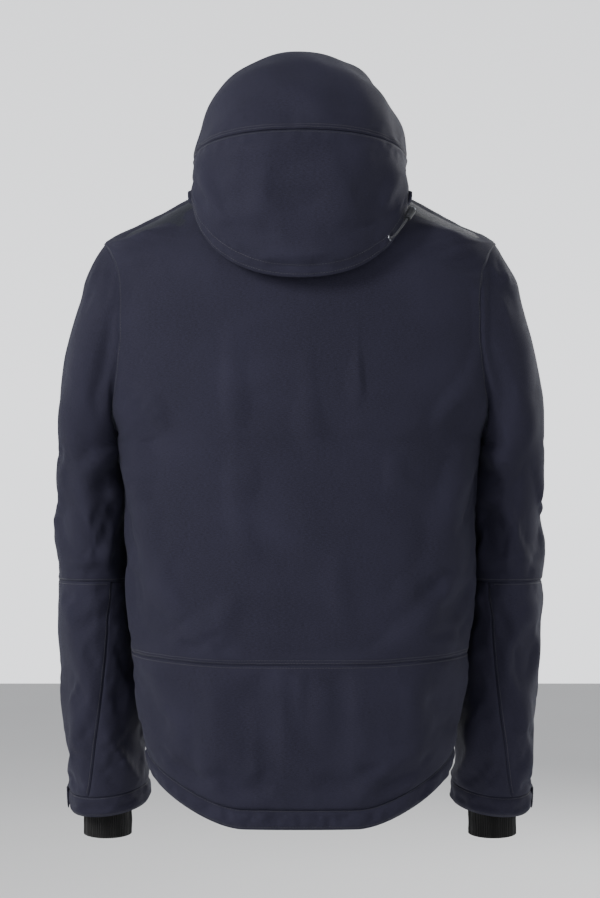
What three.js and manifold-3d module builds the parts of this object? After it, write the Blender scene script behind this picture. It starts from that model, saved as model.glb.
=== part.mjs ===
// A hooded, padded foul weather jacket, worn shape, as separate sewn panels and hardware.
// Millimetres, +Z up. The zip is at the front (-Y) and the wearer's left is +X.
// The origin is on the hang loop inside the back of the neck, at the middle of the slot's upper
// edge, where a hook bears.

import * as THREE from "three";
import { mergeVertices } from "three/addons/utils/BufferGeometryUtils.js";
import Module from "manifold-3d";

const wasm = await Module();
wasm.setup();

// ---- Driving dimensions ----

const seamGap = 0.3; // between two panels that are sewn together
const panelThickness = 5; // shell fabric and its padding
const liningThickness = 1.2;
const liningGap = 0.9; // between a panel and the lining behind it
const liningDepth = panelThickness + liningGap; // the lining's outer face, below the body's surface

// Body: heights are measured from the origin
const neckZ = 12;
const neckDrop = 74; // how far the neckline falls at the front
const shoulderZ = -66;
const underarmZ = -300;
const waistZ = -554;
const hemZ = -690;
const tailDrop = 63; // the hem falls this much further at the back
const hemBand = 24;
const neckHalfWidth = 93;
const shoulderHalfWidth = 236;
const armholeHalfWidth = 248; // the body's breadth if it went on past the armholes
const underarmHalfWidth = 217;
const waistHalfWidth = 201;
const hemHalfWidth = 182;
const neckBack = 72;
const shoulderBack = 106;
const chestBack = 130;
const hemBack = 121;
const frontAtNeck = 93; // how far the zip line stands in front of the body's middle
const frontSlope = 0.0674; // and how much further with each millimetre down
const bodyMiddleY = -5;

// Armholes, as angles round the body from the zip
const armAngle = 91;
const armBackSpread = 18;
const armFrontSpread = 21;

// Collar
const collarHeight = 58;
const collarLean = 0.9;

// Sleeves
const sleeveTuck = 1.5; // how far the sleeve reaches in past the armhole seam before it is trimmed
const sleeveElbowZ = -470;
const elbowBand = 62; // the part of the sleeve above the elbow seam that creases when it bends
const cuffZ = -722;
const sleeveEndZ = -748;
const sleeveHalfWidth = 45;
const sleeveHalfDepth = 75;
const cuffHalfWidth = 50;
const cuffHalfDepth = 58;
const underarmPivotX = 214;
const underarmPivotZ = -308;
const gaiterRadius = 29.5;
const gaiterThickness = 2.6;
const gaiterDrop = 38; // the black wrist gaiter shows this far below the cuff
const thumbSlitWidth = 6;
const thumbSlitLength = 20;
const gaiterGap = 0.9; // between the gaiter's top and the cuff around it
const gaiterOval = 1.12; // the wrist is this much deeper than it is wide
const tabHeight = 24;
const tabThickness = 2.2;
const tabGap = 0.5;
const tabHingeTurn = 8; // angles round the cuff from its outer side, by the back
const tabEndTurn = -72;

// Hood
const hoodTopZ = 164;
const hoodHalfWidth = 127;
const hoodBackY = 143;
const hoodDropZ = -113; // its lower free edge behind the neck
const hoodBrimY = -100;
const hoodBrimZ = 122;
const hoodRoundness = 2.2;
const hoodSeamAt = 0.615; // where the crown panel ends, as a share of the way back
const brimWidthAt = 0.055;
const hoodThickness = 5;
const hoodFootGap = 7;
const brimExtra = 0.8; // the brim is bound, so it is thicker than the panels on each face
const neckPanelThickness = 2;
const neckPanelGap = 1.6; // between that panel and the hood's free edge

// Main zip
const zipTopZ = -9;
const zipBottomZ = -676;
const zipSlot = 1.8; // room between the two rows of teeth for the slider's post
const teethWidth = 3.2;
const teethDepth = 3;
const teethPitch = 28;
const tapeWidth = 12;
const tapeThickness = 1;
const zipEdge = 6.5; // each front panel stops this far from the zip's middle
const sliderLength = 17;
const sliderPlate = 1.4;
const sliderFit = 0.4;
const placketDepth = 8.9;
const stopHeight = 4;
const boxHeight = 8;
const endClearance = 0.6; // along the zip, between its teeth, stops, box and slider
const pullerLength = 38;
const pullerWidth = 8.5;
const pullerThickness = 1.8;

// Hand pockets
const pocketTopZ = -372;
const pocketLength = 165;
const pocketSlotWidth = 15;
const pocketTopAngle = 50;
const pocketBottomAngle = 56;
const pocketCoil = 4.5;
const pocketBagDepth = 7;
const pocketBagDrop = 34;
const pocketTapeDepth = 1.6;
const pocketRecess = 1.2; // from the body's surface back to the tape
const coilDepth = 1.6;
const coilSink = 0.2; // how far the coil is set into its tape
const coilEnds = 6; // the coil is this much shorter than its tape
const bagWall = 1;
const bagGap = 0.6; // between the front panel and the bag behind it
const pocketScale = 0.75; // a pocket's slider and puller against the main zip's
const pocketEnd = 4; // from the slot's end to the closed slider

// Hood adjuster
const cordRadius = 1.25;
const lockRadius = 5;
const lockLength = 15;
const lockWall = 1.4;
const lockWellFloor = 6; // the thickness under the plunger's well
const plungerTravel = 3;
const plungerLength = 9;
const eyeletRadius = 4;
const eyeletDepth = 1.2;
const eyeletClearance = 0.5;

// Hang loop
const loopWidth = 62;
const loopHeight = 7;
const loopThickness = 2.4;
const loopEnd = 5; // each end of the strip that is sewn down

// ---- Materials ----

const shellFabric = material(0x2b2d3a, 0.82, 0);
const liningFabric = material(0x20222c, 0.7, 0);
const gaiterKnit = material(0x121213, 0.95, 0);
const zipTapeWeave = material(0x1b1d27, 0.8, 0);
const zipMetal = material(0x777b80, 0.35, 1);
const mouldedPlastic = material(0x17181c, 0.5, 0);
const cordWeave = material(0x24252c, 0.8, 0);

function material(color, roughness, metalness) {
  return new THREE.MeshStandardMaterial({ color, roughness, metalness });
}

// ---- Small helpers ----

const jacket = new THREE.Group();
const worn = new THREE.Group();
jacket.add(worn);

function radians(degrees) {
  return (degrees * Math.PI) / 180;
}

function mix(a, b, share) {
  return a + (b - a) * share;
}

// 0 below the low value, 1 above the high one, with a soft step between them
function softStep(low, high, value) {
  const share = Math.min(1, Math.max(0, (value - low) / (high - low)));
  return share * share * (3 - 2 * share);
}

// A smooth value through a list of [where, value] stations that never overshoots them
function through(stations, where) {
  const last = stations.length - 1;
  const slope = (i) => (stations[i + 1][1] - stations[i][1]) / (stations[i + 1][0] - stations[i][0]);
  const lean = (i) => {
    if (i === 0 || i === last) return slope(Math.min(i, last - 1));
    const product = slope(i - 1) * slope(i);
    return product > 0 ? (2 * product) / (slope(i - 1) + slope(i)) : 0;
  };
  const at = Math.min(stations[last][0], Math.max(stations[0][0], where));
  let i = 0;
  while (i < last - 1 && at > stations[i + 1][0]) i += 1;
  const span = stations[i + 1][0] - stations[i][0];
  const t = (at - stations[i][0]) / span;
  const rise = stations[i + 1][1] - stations[i][1];
  const settle = rise * t * t * (3 - 2 * t);
  const lead = span * lean(i) * t * (1 - t) * (1 - t);
  const trail = span * lean(i + 1) * t * t * (1 - t);
  return stations[i][1] + settle + lead - trail;
}

function addPiece(name, geometry, itsMaterial, group = worn) {
  const mesh = new THREE.Mesh(geometry, itsMaterial);
  mesh.name = name;
  group.add(mesh);
  return mesh;
}

function mirrored(point) {
  return new THREE.Vector3(-point.x, point.y, point.z);
}

// A closed geometry from points and triangles, turned so that its faces point outwards
function closedGeometry(points, triangles) {
  let volume = 0;
  for (const [a, b, c] of triangles) {
    volume += points[a].dot(new THREE.Vector3().crossVectors(points[b], points[c]));
  }
  const facing = volume < 0 ? triangles.map(([a, b, c]) => [a, c, b]) : triangles;
  const geometry = new THREE.BufferGeometry();
  const places = points.flatMap((p) => [p.x, p.y, p.z]);
  geometry.setAttribute("position", new THREE.Float32BufferAttribute(places, 3));
  geometry.setIndex(facing.flat());
  return geometry;
}

// A sheet with thickness. pointAt(across, along, side) gives its outer face at side 0 and
// its inner face at side 1. A wrapped sheet closes on itself across.
function sheet(pointAt, acrossSteps, alongSteps, wrapped = false) {
  const columns = wrapped ? acrossSteps : acrossSteps + 1;
  const points = [];
  for (const side of [0, 1]) {
    for (let j = 0; j <= alongSteps; j += 1) {
      for (let i = 0; i < columns; i += 1) {
        points.push(pointAt(i / acrossSteps, j / alongSteps, side));
      }
    }
  }
  const index = (i, j, side) => (side * (alongSteps + 1) + j) * columns + (i % columns);
  const triangles = [];
  const quad = (a, b, c, d) => triangles.push([a, b, c], [a, c, d]);
  for (let j = 0; j < alongSteps; j += 1) {
    for (let i = 0; i < acrossSteps; i += 1) {
      quad(index(i, j, 0), index(i + 1, j, 0), index(i + 1, j + 1, 0), index(i, j + 1, 0));
      quad(index(i, j, 1), index(i, j + 1, 1), index(i + 1, j + 1, 1), index(i + 1, j, 1));
    }
  }
  for (let i = 0; i < acrossSteps; i += 1) {
    const end = alongSteps;
    quad(index(i, 0, 0), index(i, 0, 1), index(i + 1, 0, 1), index(i + 1, 0, 0));
    quad(index(i, end, 0), index(i + 1, end, 0), index(i + 1, end, 1), index(i, end, 1));
  }
  if (!wrapped) {
    const edge = acrossSteps;
    for (let j = 0; j < alongSteps; j += 1) {
      quad(index(0, j, 0), index(0, j + 1, 0), index(0, j + 1, 1), index(0, j, 1));
      quad(index(edge, j, 0), index(edge, j, 1), index(edge, j + 1, 1), index(edge, j + 1, 0));
    }
  }
  return closedGeometry(points, triangles);
}

// The same geometry on the other side of the body
function mirrorImage(geometry) {
  const image = geometry.clone().scale(-1, 1, 1);
  const corners = image.index.array;
  for (let k = 0; k < corners.length; k += 3) {
    [corners[k], corners[k + 1]] = [corners[k + 1], corners[k]];
  }
  return image;
}

// ---- Joining and cutting ----

function solidOf(geometry) {
  const bare = geometry.clone();
  bare.deleteAttribute("normal");
  bare.deleteAttribute("uv");
  const welded = mergeVertices(bare, 1e-3);
  const mesh = new wasm.Mesh({
    numProp: 3,
    vertProperties: new Float32Array(welded.getAttribute("position").array),
    triVerts: new Uint32Array(welded.index.array),
  });
  return new wasm.Manifold(mesh);
}

function geometryOf(solid) {
  const mesh = solid.getMesh();
  const geometry = new THREE.BufferGeometry();
  geometry.setAttribute("position", new THREE.Float32BufferAttribute(mesh.vertProperties, 3));
  geometry.setIndex(Array.from(mesh.triVerts));
  return geometry;
}

// Moves every corner to a grid finer than any gap, so that no two are almost the same
function snapped(geometry) {
  const grid = 0.01;
  const places = geometry.getAttribute("position");
  for (let k = 0; k < places.array.length; k += 1) {
    places.array[k] = Math.round(places.array[k] / grid) * grid;
  }
  return geometry;
}

function joined(...geometries) {
  const solids = geometries.map((geometry) => solidOf(geometry));
  return geometryOf(solids.reduce((sum, solid) => sum.add(solid)));
}

// Cuts the tools away. Trimmings that come loose are dropped and the main body is kept.
function cutBy(geometry, ...tools) {
  const left = tools.reduce((solid, tool) => solid.subtract(solidOf(tool)), solidOf(geometry));
  const bodies = solidOf(snapped(geometryOf(left))).decompose();
  bodies.sort((a, b) => b.volume() - a.volume());
  return geometryOf(bodies[0]);
}

function block(width, depth, height, x = 0, y = 0, z = 0) {
  return new THREE.BoxGeometry(width, depth, height).translate(x, y, z);
}

// ---- The body's surface ----

function frontAt(z) {
  return frontAtNeck - frontSlope * z;
}

const halfWidthStations = [
  [hemZ - tailDrop, hemHalfWidth - 6],
  [hemZ, hemHalfWidth],
  [waistZ, waistHalfWidth],
  [mix(waistZ, underarmZ, 0.4), mix(waistHalfWidth, underarmHalfWidth, 0.42)],
  [underarmZ - 50, underarmHalfWidth - 4],
  [underarmZ, underarmHalfWidth],
  [underarmZ + 44, armholeHalfWidth - 11],
  [mix(underarmZ, shoulderZ, 0.6), armholeHalfWidth],
  [shoulderZ - 26, shoulderHalfWidth + 6],
  [shoulderZ, shoulderHalfWidth],
  [mix(shoulderZ, neckZ, 0.35), mix(shoulderHalfWidth, neckHalfWidth, 0.35)],
  [mix(shoulderZ, neckZ, 0.7), mix(shoulderHalfWidth, neckHalfWidth, 0.7)],
  [neckZ, neckHalfWidth],
];

const backStations = [
  [hemZ - tailDrop, hemBack],
  [waistZ, chestBack - 2],
  [mix(underarmZ, waistZ, 0.3), chestBack],
  [underarmZ, chestBack],
  [mix(underarmZ, shoulderZ, 0.6), mix(chestBack, shoulderBack, 0.4)],
  [shoulderZ, shoulderBack],
  [neckZ, neckBack],
];

const roundnessStations = [
  [underarmZ, 2.5],
  [mix(underarmZ, shoulderZ, 0.6), 2.3],
  [shoulderZ - 26, 2],
  [shoulderZ, 1.9],
  [neckZ, 2],
];

// The body's surface at an angle round from the zip, pulled in by depth
function bodyPoint(angle, z, depth = 0) {
  const halfWidth = through(halfWidthStations, z) - depth;
  const isFront = Math.cos(radians(angle)) > 0;
  const halfDepth = (isFront ? frontAt(z) + bodyMiddleY : through(backStations, z) - bodyMiddleY) - depth;
  const roundness = through(roundnessStations, z);
  const sideways = Math.abs(Math.sin(radians(angle))) / halfWidth;
  const forward = Math.abs(Math.cos(radians(angle))) / halfDepth;
  const reach = (sideways ** roundness + forward ** roundness) ** (-1 / roundness);
  const x = reach * Math.sin(radians(angle));
  const y = bodyMiddleY - reach * Math.cos(radians(angle));
  return new THREE.Vector3(x, y, z);
}

// The body's outward direction there
function bodyOutward(angle, z) {
  const step = 1;
  const across = bodyPoint(angle + step, z).sub(bodyPoint(angle - step, z));
  const along = bodyPoint(angle, z + step).sub(bodyPoint(angle, z - step));
  return across.cross(along).normalize();
}

// How far round the armhole's front or back edge lies from its middle at a height
function armholeReach(z) {
  const middle = (shoulderZ + underarmZ) / 2;
  const half = (shoulderZ - underarmZ) / 2;
  return Math.sqrt(Math.max(0, 1 - ((z - middle) / half) ** 2));
}

// The angle that a length of the body's outline takes up
function angleOf(length, angle, z) {
  const away = bodyPoint(angle, z).sub(new THREE.Vector3(0, bodyMiddleY, z)).length();
  return (length / away) * (180 / Math.PI);
}

function backEdgeAngle(z, gap = seamGap) {
  const edge = armAngle + armBackSpread * armholeReach(z);
  return edge + angleOf(gap, edge, z);
}

function frontEdgeAngle(z, gap = seamGap) {
  const edge = armAngle - armFrontSpread * armholeReach(z);
  return edge - angleOf(gap, edge, z);
}

// The neckline falls from the side of the neck to the zip
const neckSideAngle = 80;

function necklineZ(angle) {
  const turn = Math.min(1, Math.abs(angle) / neckSideAngle);
  return neckZ - neckDrop * Math.cos((turn * Math.PI) / 2) ** 2;
}

// The angle at which the neckline crosses a height
function necklineAngle(z) {
  if (z <= neckZ - neckDrop) return 0;
  const share = Math.sqrt(Math.min(1, (neckZ - z) / neckDrop));
  return (neckSideAngle * Math.acos(share)) / (Math.PI / 2);
}

function waistAt(angle) {
  return waistZ - 8 * softStep(95, 150, Math.abs(angle));
}

function hemAt(angle) {
  return hemZ - tailDrop * softStep(88, 152, Math.abs(angle));
}

function bandTopAt(angle) {
  return hemAt(angle) + hemBand;
}

// ---- Body panels ----

// Heights of the rows from the waist seam to the neck, closer together round the armhole's ends
const upperRows = [];
const sideRows = 4;
const frontRowsBelow = 4;
for (let k = 0; k < sideRows; k += 1) {
  upperRows.push(mix(waistZ, underarmZ, k / sideRows));
}
const armholeRows = 8;
for (let k = 0; k <= armholeRows; k += 1) {
  const share = (1 - Math.cos((k / armholeRows) * Math.PI)) / 2;
  upperRows.push(mix(underarmZ, shoulderZ, share));
}
for (const share of [0.22, 0.45, 0.7, 0.9, 1]) {
  upperRows.push(mix(shoulderZ, neckZ, share));
}

function backPanel(outer, inner, acrossSteps, gap = seamGap) {
  const last = upperRows.length - 1;
  const pointAt = (across, along, side) => {
    const row = Math.round(along * last);
    const rowZ = upperRows[row] + (row === 0 ? seamGap : 0);
    const edge = backEdgeAngle(rowZ, gap);
    const angle = mix(edge, 360 - edge, across);
    const waistShare = row < sideRows ? 1 - row / sideRows : 0;
    const drop = (waistAt(Math.min(angle, 360 - angle)) - waistZ) * waistShare;
    return bodyPoint(angle, rowZ + drop, side ? inner : outer);
  };
  return sheet(pointAt, acrossSteps, last);
}

// The wearer's left front runs from the hem band to the shoulder seam, on a grid that the
// lining and the pocket bag behind it share
const frontColumns = 7;
const frontRows = [];
for (let k = 0; k < frontRowsBelow; k += 1) {
  frontRows.push(mix(hemZ + hemBand + seamGap, waistZ, k / frontRowsBelow));
}
frontRows.push(...upperRows.slice(0, -1), neckZ - 2);

// The angle of a place across the front: 0 is the zip edge and 1 the side
function frontAngle(across, z, gap = seamGap) {
  const besideNeck = z > neckZ - neckDrop ? 1 : 0;
  const near = Math.max(angleOf(zipEdge, 0, z), necklineAngle(z) + besideNeck);
  return mix(near, frontEdgeAngle(z, gap), across);
}

// Part of that grid, from one column and row to another. depthAt(column, row) is where its outer
// face lies behind the body's surface.
function frontSheet(columns, rows, depthAt, thickness, inset = 0, gap = seamGap) {
  const pointAt = (across, along, side) => {
    const column = mix(columns[0], columns[1], across);
    const row = Math.round(mix(rows[0], rows[1], along));
    const lift = inset * (1 - 2 * along) * (along === 0 || along === 1 ? 1 : 0);
    const z = frontRows[row] + lift;
    const pull = inset * (1 - 2 * across) * (across === 0 || across === 1 ? 1 : 0);
    const angle = frontAngle(column / frontColumns, z, gap) + angleOf(pull, 45, z);
    const drop = row === 0 ? hemAt(angle) - hemZ : 0;
    return bodyPoint(angle, z + drop, depthAt(column, row) + side * thickness);
  };
  return sheet(pointAt, columns[1] - columns[0], rows[1] - rows[0]);
}

function frontPanel(outer, inner, gap = seamGap) {
  const all = [0, frontRows.length - 1];
  return frontSheet([0, frontColumns], all, () => outer, inner - outer, 0, gap);
}

// A band of the body between two angles and two heights that depend on the angle
function bodyBand(angles, heights, steps, thickness = panelThickness) {
  const pointAt = (across, along, side) => {
    const angle = mix(angles[0], angles[1], across);
    const folded = Math.min(angle, 360 - angle);
    const z = mix(heights[0](folded), heights[1](folded), along);
    return bodyPoint(angle, z, side ? thickness : 0);
  };
  return sheet(pointAt, steps[0], steps[1]);
}

const sideSeamAngle = backEdgeAngle(hemZ);
const frontSideAngle = frontEdgeAngle(hemZ);
const backColumns = 12;
const liningColumns = backColumns / 2;

const acrossBack = [sideSeamAngle, 360 - sideSeamAngle];
const hemFold = 2; // the hem band is turned under, so it is thicker than a panel

function lowerBackPanel() {
  const top = (angle) => waistAt(angle) - seamGap / 2;
  const bottom = (angle) => bandTopAt(angle) + seamGap / 2;
  return bodyBand(acrossBack, [bottom, top], [backColumns, 4]);
}

function hemBandPiece(angles, acrossSteps) {
  const top = (angle) => bandTopAt(angle) - seamGap / 2;
  return bodyBand(angles, [hemAt, top], [acrossSteps, 2], panelThickness + hemFold);
}

// ---- Lining ----

const bagOuterDepth = panelThickness + bagGap;
const bagColumns = [2, 6];
const bagRows = [rowBelow(pocketTopZ - pocketLength - pocketBagDrop), rowBelow(pocketTopZ) + 1];

// The last of the front's rows that is no higher than z
function rowBelow(z) {
  return frontRows.findLastIndex((rowZ) => rowZ <= z + 1e-6);
}

// The front lining stands off behind the pocket bag
function frontLining() {
  const behindBag = bagOuterDepth + pocketBagDepth + liningGap;
  const isBehindBag = (column, row) =>
    column >= bagColumns[0] && column <= bagColumns[1] && row >= bagRows[0] && row <= bagRows[1];
  const depthAt = (column, row) => (isBehindBag(column, row) ? behindBag : liningDepth);
  const top = rowBelow(neckZ - neckDrop + 20);
  return frontSheet([1, frontColumns], [1, top], depthAt, liningThickness);
}

// The storm placket runs behind the zip. Its edge on the wearer's left is sewn to the lining,
// so it ends just short of the lining's first column.
function stormPlacket() {
  const rows = [1, rowBelow(neckZ - neckDrop)];
  const reaches = [-0.6, 0, 0.6, 0.98]; // from the middle of the zip towards that column
  const pointAt = (across, along, side) => {
    const z = frontRows[Math.round(mix(rows[0], rows[1], along))];
    const reach = reaches[Math.round(across * (reaches.length - 1))];
    const away = mix(frontAngle(0, z), frontAngle(1 / frontColumns, z), Math.abs(reach));
    const depth = across === 1 ? liningDepth : placketDepth;
    return bodyPoint(Math.sign(reach) * away, z, depth + side * liningThickness);
  };
  return sheet(pointAt, reaches.length - 1, rows[1] - rows[0]);
}

// ---- Sleeves ----

// Each station is one cross-section: its height down the sleeve, its middle, its half sizes,
// how far its outer side is tipped up and how far it leans forward
const sleeveMiddleX = 249;
const fanInner = 6;
const fanTilts = [84, 72, 58, 42, 24, 6];
const fanReaches = [238, 190, 136, 105, 87.5, 81];

function fanStation(k) {
  const tilt = fanTilts[k];
  const reach = fanReaches[k];
  const middle = (fanInner + reach) / 2;
  return {
    x: underarmPivotX + middle * Math.cos(radians(tilt)),
    y: mix(bodyMiddleY, -22, k / (fanTilts.length - 1)),
    z: underarmPivotZ + middle * Math.sin(radians(tilt)),
    halfWidth: (reach - fanInner) / 2,
    halfDepth: mix(sleeveHalfDepth - 2, sleeveHalfDepth + 3, k / (fanTilts.length - 1)),
    tilt,
    lean: 0,
  };
}

function straightStation(z, y, share, x = mix(sleeveMiddleX, sleeveMiddleX - 14, share)) {
  return {
    x,
    y,
    z,
    halfWidth: mix(sleeveHalfWidth, cuffHalfWidth, Math.min(1, share * 1.4)),
    halfDepth: mix(sleeveHalfDepth, cuffHalfDepth, share),
    tilt: mix(0, -7, share),
    lean: mix(0, 11, softStep(0, 0.5, share)),
  };
}

const belowElbow = cuffZ - sleeveElbowZ;
const sleeveStations = [
  ...fanTilts.map((tilt, k) => fanStation(k)),
  straightStation(underarmPivotZ - 42, -40, -0.15, sleeveMiddleX + 4),
  straightStation(mix(underarmPivotZ, sleeveElbowZ, 0.63), -48, -0.05, sleeveMiddleX + 1.5),
  straightStation(sleeveElbowZ, -53, 0),
  straightStation(sleeveElbowZ + 0.36 * belowElbow, -66, 0.33),
  straightStation(sleeveElbowZ + 0.7 * belowElbow, -84, 0.65),
  straightStation(cuffZ, -101, 0.95),
  straightStation(sleeveEndZ, -107, 1),
];
const elbowStation = 8;
const cuffStation = 11;

function sleeveValue(key, station) {
  return through(sleeveStations.map((s, k) => [k, s[key]]), station);
}

// The armhole seam, as an angle round the sleeve from the shoulder (0) by the back (90)
function armholePoint(turn, depth) {
  const middle = (shoulderZ + underarmZ) / 2;
  const half = (shoulderZ - underarmZ) / 2 - depth * 0.4;
  const spread = Math.sin(radians(turn)) >= 0 ? armBackSpread : armFrontSpread;
  const z = middle + half * Math.cos(radians(turn));
  const seam = bodyPoint(armAngle + spread * Math.sin(radians(turn)), z, depth);
  return seam.add(new THREE.Vector3(-sleeveTuck, 0, 0));
}

// The sleeve's surface at a station, pulled in by depth
function sleevePoint(station, turn, depth = 0) {
  const tilt = radians(sleeveValue("tilt", station));
  const lean = radians(sleeveValue("lean", station));
  const outward = new THREE.Vector3(Math.cos(tilt), 0, Math.sin(tilt));
  const backward = new THREE.Vector3(0, Math.cos(lean), -Math.sin(lean));
  const point = new THREE.Vector3();
  point.set(sleeveValue("x", station), sleeveValue("y", station), sleeveValue("z", station));
  point.addScaledVector(outward, (sleeveValue("halfWidth", station) - depth) * Math.cos(radians(turn)));
  point.addScaledVector(backward, (sleeveValue("halfDepth", station) - depth) * Math.sin(radians(turn)));
  const sewn = 1 - softStep(0, 2.2, station);
  return sewn > 0 ? point.lerp(armholePoint(turn, depth), sewn) : point;
}

// The height of a station is not exact away from the sleeve's middle, so bands are measured in stations
function stationAtZ(z) {
  let low = elbowStation - 2;
  let high = sleeveStations.length - 1;
  for (let k = 0; k < 40; k += 1) {
    const middle = (low + high) / 2;
    if (sleeveValue("z", middle) > z) low = middle;
    else high = middle;
  }
  return (low + high) / 2;
}

const sleeveTurns = 14;

function sleeveTube(from, to, alongSteps, outer = 0, inner = panelThickness) {
  const pointAt = (across, along, side) =>
    sleevePoint(mix(from, to, along), across * 360, side ? inner : outer);
  return sheet(pointAt, sleeveTurns, alongSteps, true);
}

// The forearm is an outer panel and an under panel, with a seam that slants down the back
const backSeamAtElbow = 124;
const backSeamAtCuff = 63;
const frontSeam = 248;

function forearmPanel(isUnder) {
  const from = stationAtZ(sleeveElbowZ - seamGap);
  const to = stationAtZ(cuffZ + seamGap);
  const gapTurn = 0.3;
  const pointAt = (across, along, side) => {
    const backSeam = mix(backSeamAtElbow, backSeamAtCuff, along);
    const start = isUnder ? backSeam + gapTurn : frontSeam - 360 + gapTurn;
    const end = isUnder ? frontSeam - gapTurn : backSeam - gapTurn;
    return sleevePoint(mix(from, to, along), mix(start, end, across), side ? panelThickness : 0);
  };
  return sheet(pointAt, isUnder ? 8 : 11, 6);
}

// The cuff tab wraps the front of the cuff from its hinge on the outer side
function cuffTab() {
  const middle = stationAtZ((cuffZ + sleeveEndZ) / 2);
  const half = (tabHeight / 2 / (cuffZ - sleeveEndZ)) * (sleeveStations.length - 1 - cuffStation);
  const pointAt = (across, along, side) => {
    const taper = 1 - 0.35 * softStep(0.8, 1, across); // its free end is narrower
    const station = middle + half * (along * 2 - 1) * taper;
    const turn = mix(tabHingeTurn, tabEndTurn, across);
    return sleevePoint(station, turn, side ? -tabGap : -tabGap - tabThickness);
  };
  return sheet(pointAt, 7, 2);
}

// The stretch gaiter hangs inside the cuff and narrows to the wrist
function wristGaiter() {
  const top = cuffZ + 6;
  const endX = sleeveValue("x", sleeveStations.length - 1) + 3;
  const endY = sleeveValue("y", sleeveStations.length - 1) - 6;
  const topAt = stationAtZ(top);
  const pointAt = (across, along, side) => {
    const depth = side ? gaiterThickness : 0;
    const turn = across * 360;
    const wide = sleevePoint(topAt, turn, panelThickness + gaiterGap + depth);
    const reach = gaiterRadius - depth;
    const z = mix(top, sleeveEndZ - gaiterDrop, along);
    const narrow = new THREE.Vector3(
      endX + reach * Math.cos(radians(turn)),
      endY + reach * gaiterOval * Math.sin(radians(turn)) + (1 - along) * 4,
      z - 3 * Math.sin(radians(turn)) * along,
    );
    return wide.lerp(narrow, softStep(0, 0.62, along));
  };
  const tube = sheet(pointAt, sleeveTurns, 4, true);
  const slitX = endX - gaiterRadius;
  const slitZ = sleeveEndZ - gaiterDrop / 2;
  return cutBy(tube, block(gaiterThickness * 8, thumbSlitWidth, thumbSlitLength, slitX, endY, slitZ));
}

// ---- Hood ----

// The hood is a fan of arches. Each has a highest point on the middle line, a widest point and a
// foot on the neck. The first is the brim and the last is the free edge behind the neck.
const hoodMiddle = new THREE.Vector3(0, 20, 20);

const hoodTopY = [
  [0, hoodBrimY],
  [0.12, hoodBrimY + 48],
  [0.236, 0],
  [0.39, hoodBackY - 73],
  [0.53, hoodBackY - 28],
  [0.66, hoodBackY - 6],
  [0.8, hoodBackY],
  [0.9, hoodBackY - 2],
  [1, hoodBackY - 9],
];
const hoodTopZs = [
  [0, hoodBrimZ],
  [0.12, hoodTopZ - 13],
  [0.236, hoodTopZ],
  [0.39, hoodTopZ - 19],
  [0.53, hoodTopZ - 64],
  [0.66, mix(hoodTopZ, hoodDropZ, 0.46)],
  [0.8, mix(hoodTopZ, hoodDropZ, 0.7)],
  [1, hoodDropZ],
];
const hoodSideX = [
  [0, hoodHalfWidth - 31],
  [0.236, hoodHalfWidth - 7],
  [0.5, hoodHalfWidth],
  [1, hoodHalfWidth + 1],
];
const hoodSideY = [
  [0, -70],
  [0.236, -40],
  [hoodSeamAt, 5],
  [1, 58],
];
const hoodSideZ = [
  [0, 38],
  [0.236, 26],
  [hoodSeamAt, 34],
  [1, -7],
];

function hoodFoot(share) {
  const angle = mix(30, 105, share);
  const z = Math.min(necklineZ(angle), neckZ) - mix(4, 14, share);
  return bodyPoint(angle, z, -hoodFootGap).add(new THREE.Vector3(0, 0, hoodFootGap));
}

// across runs from the right foot (-1) over the middle line (0) to the left foot (1)
function hoodPoint(across, share, depth = 0) {
  const side = new THREE.Vector3();
  side.set(through(hoodSideX, share), through(hoodSideY, share), through(hoodSideZ, share));
  const top = new THREE.Vector3(0, through(hoodTopY, share), through(hoodTopZs, share));
  const footShare = 0.26;
  const away = Math.abs(across);
  const point = new THREE.Vector3();
  if (away <= 1 - footShare) {
    const swing = (away / (1 - footShare)) * (Math.PI / 2);
    const wide = Math.sin(swing) ** (2 / hoodRoundness);
    const high = Math.cos(swing) ** (2 / hoodRoundness);
    point.set(side.x * wide, side.y + (top.y - side.y) * high, side.z + (top.z - side.z) * high);
  } else {
    const t = (away - (1 - footShare)) / footShare;
    const foot = hoodFoot(share);
    point.set(mix(side.x, foot.x, t * t), mix(side.y, foot.y, t), mix(side.z, foot.z, t));
  }
  const inward = hoodMiddle.clone().sub(point).normalize();
  point.addScaledVector(inward, depth);
  return across < 0 ? mirrored(point) : point;
}

function hoodPanel(from, to, acrossSteps, alongSteps, outer = 0, inner = hoodThickness) {
  const pointAt = (across, along, side) =>
    hoodPoint(across * 2 - 1, mix(from, to, along), side ? inner : outer);
  return sheet(pointAt, acrossSteps, alongSteps);
}

// The panel that holds the hood to the neck seam, under its free edge
function hoodNeckPanel() {
  const pointAt = (across, along, side) => {
    const turn = mix(-1, 1, across);
    const away = side * neckPanelThickness;
    const neck = bodyPoint(180 - turn * 62, neckZ + 3 - away, -0.8);
    const hung = hoodPoint(turn * 0.66, 0.93, hoodThickness + neckPanelGap + away);
    return neck.lerp(hung, along);
  };
  return sheet(pointAt, 14, 3);
}

// ---- Collar ----

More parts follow.
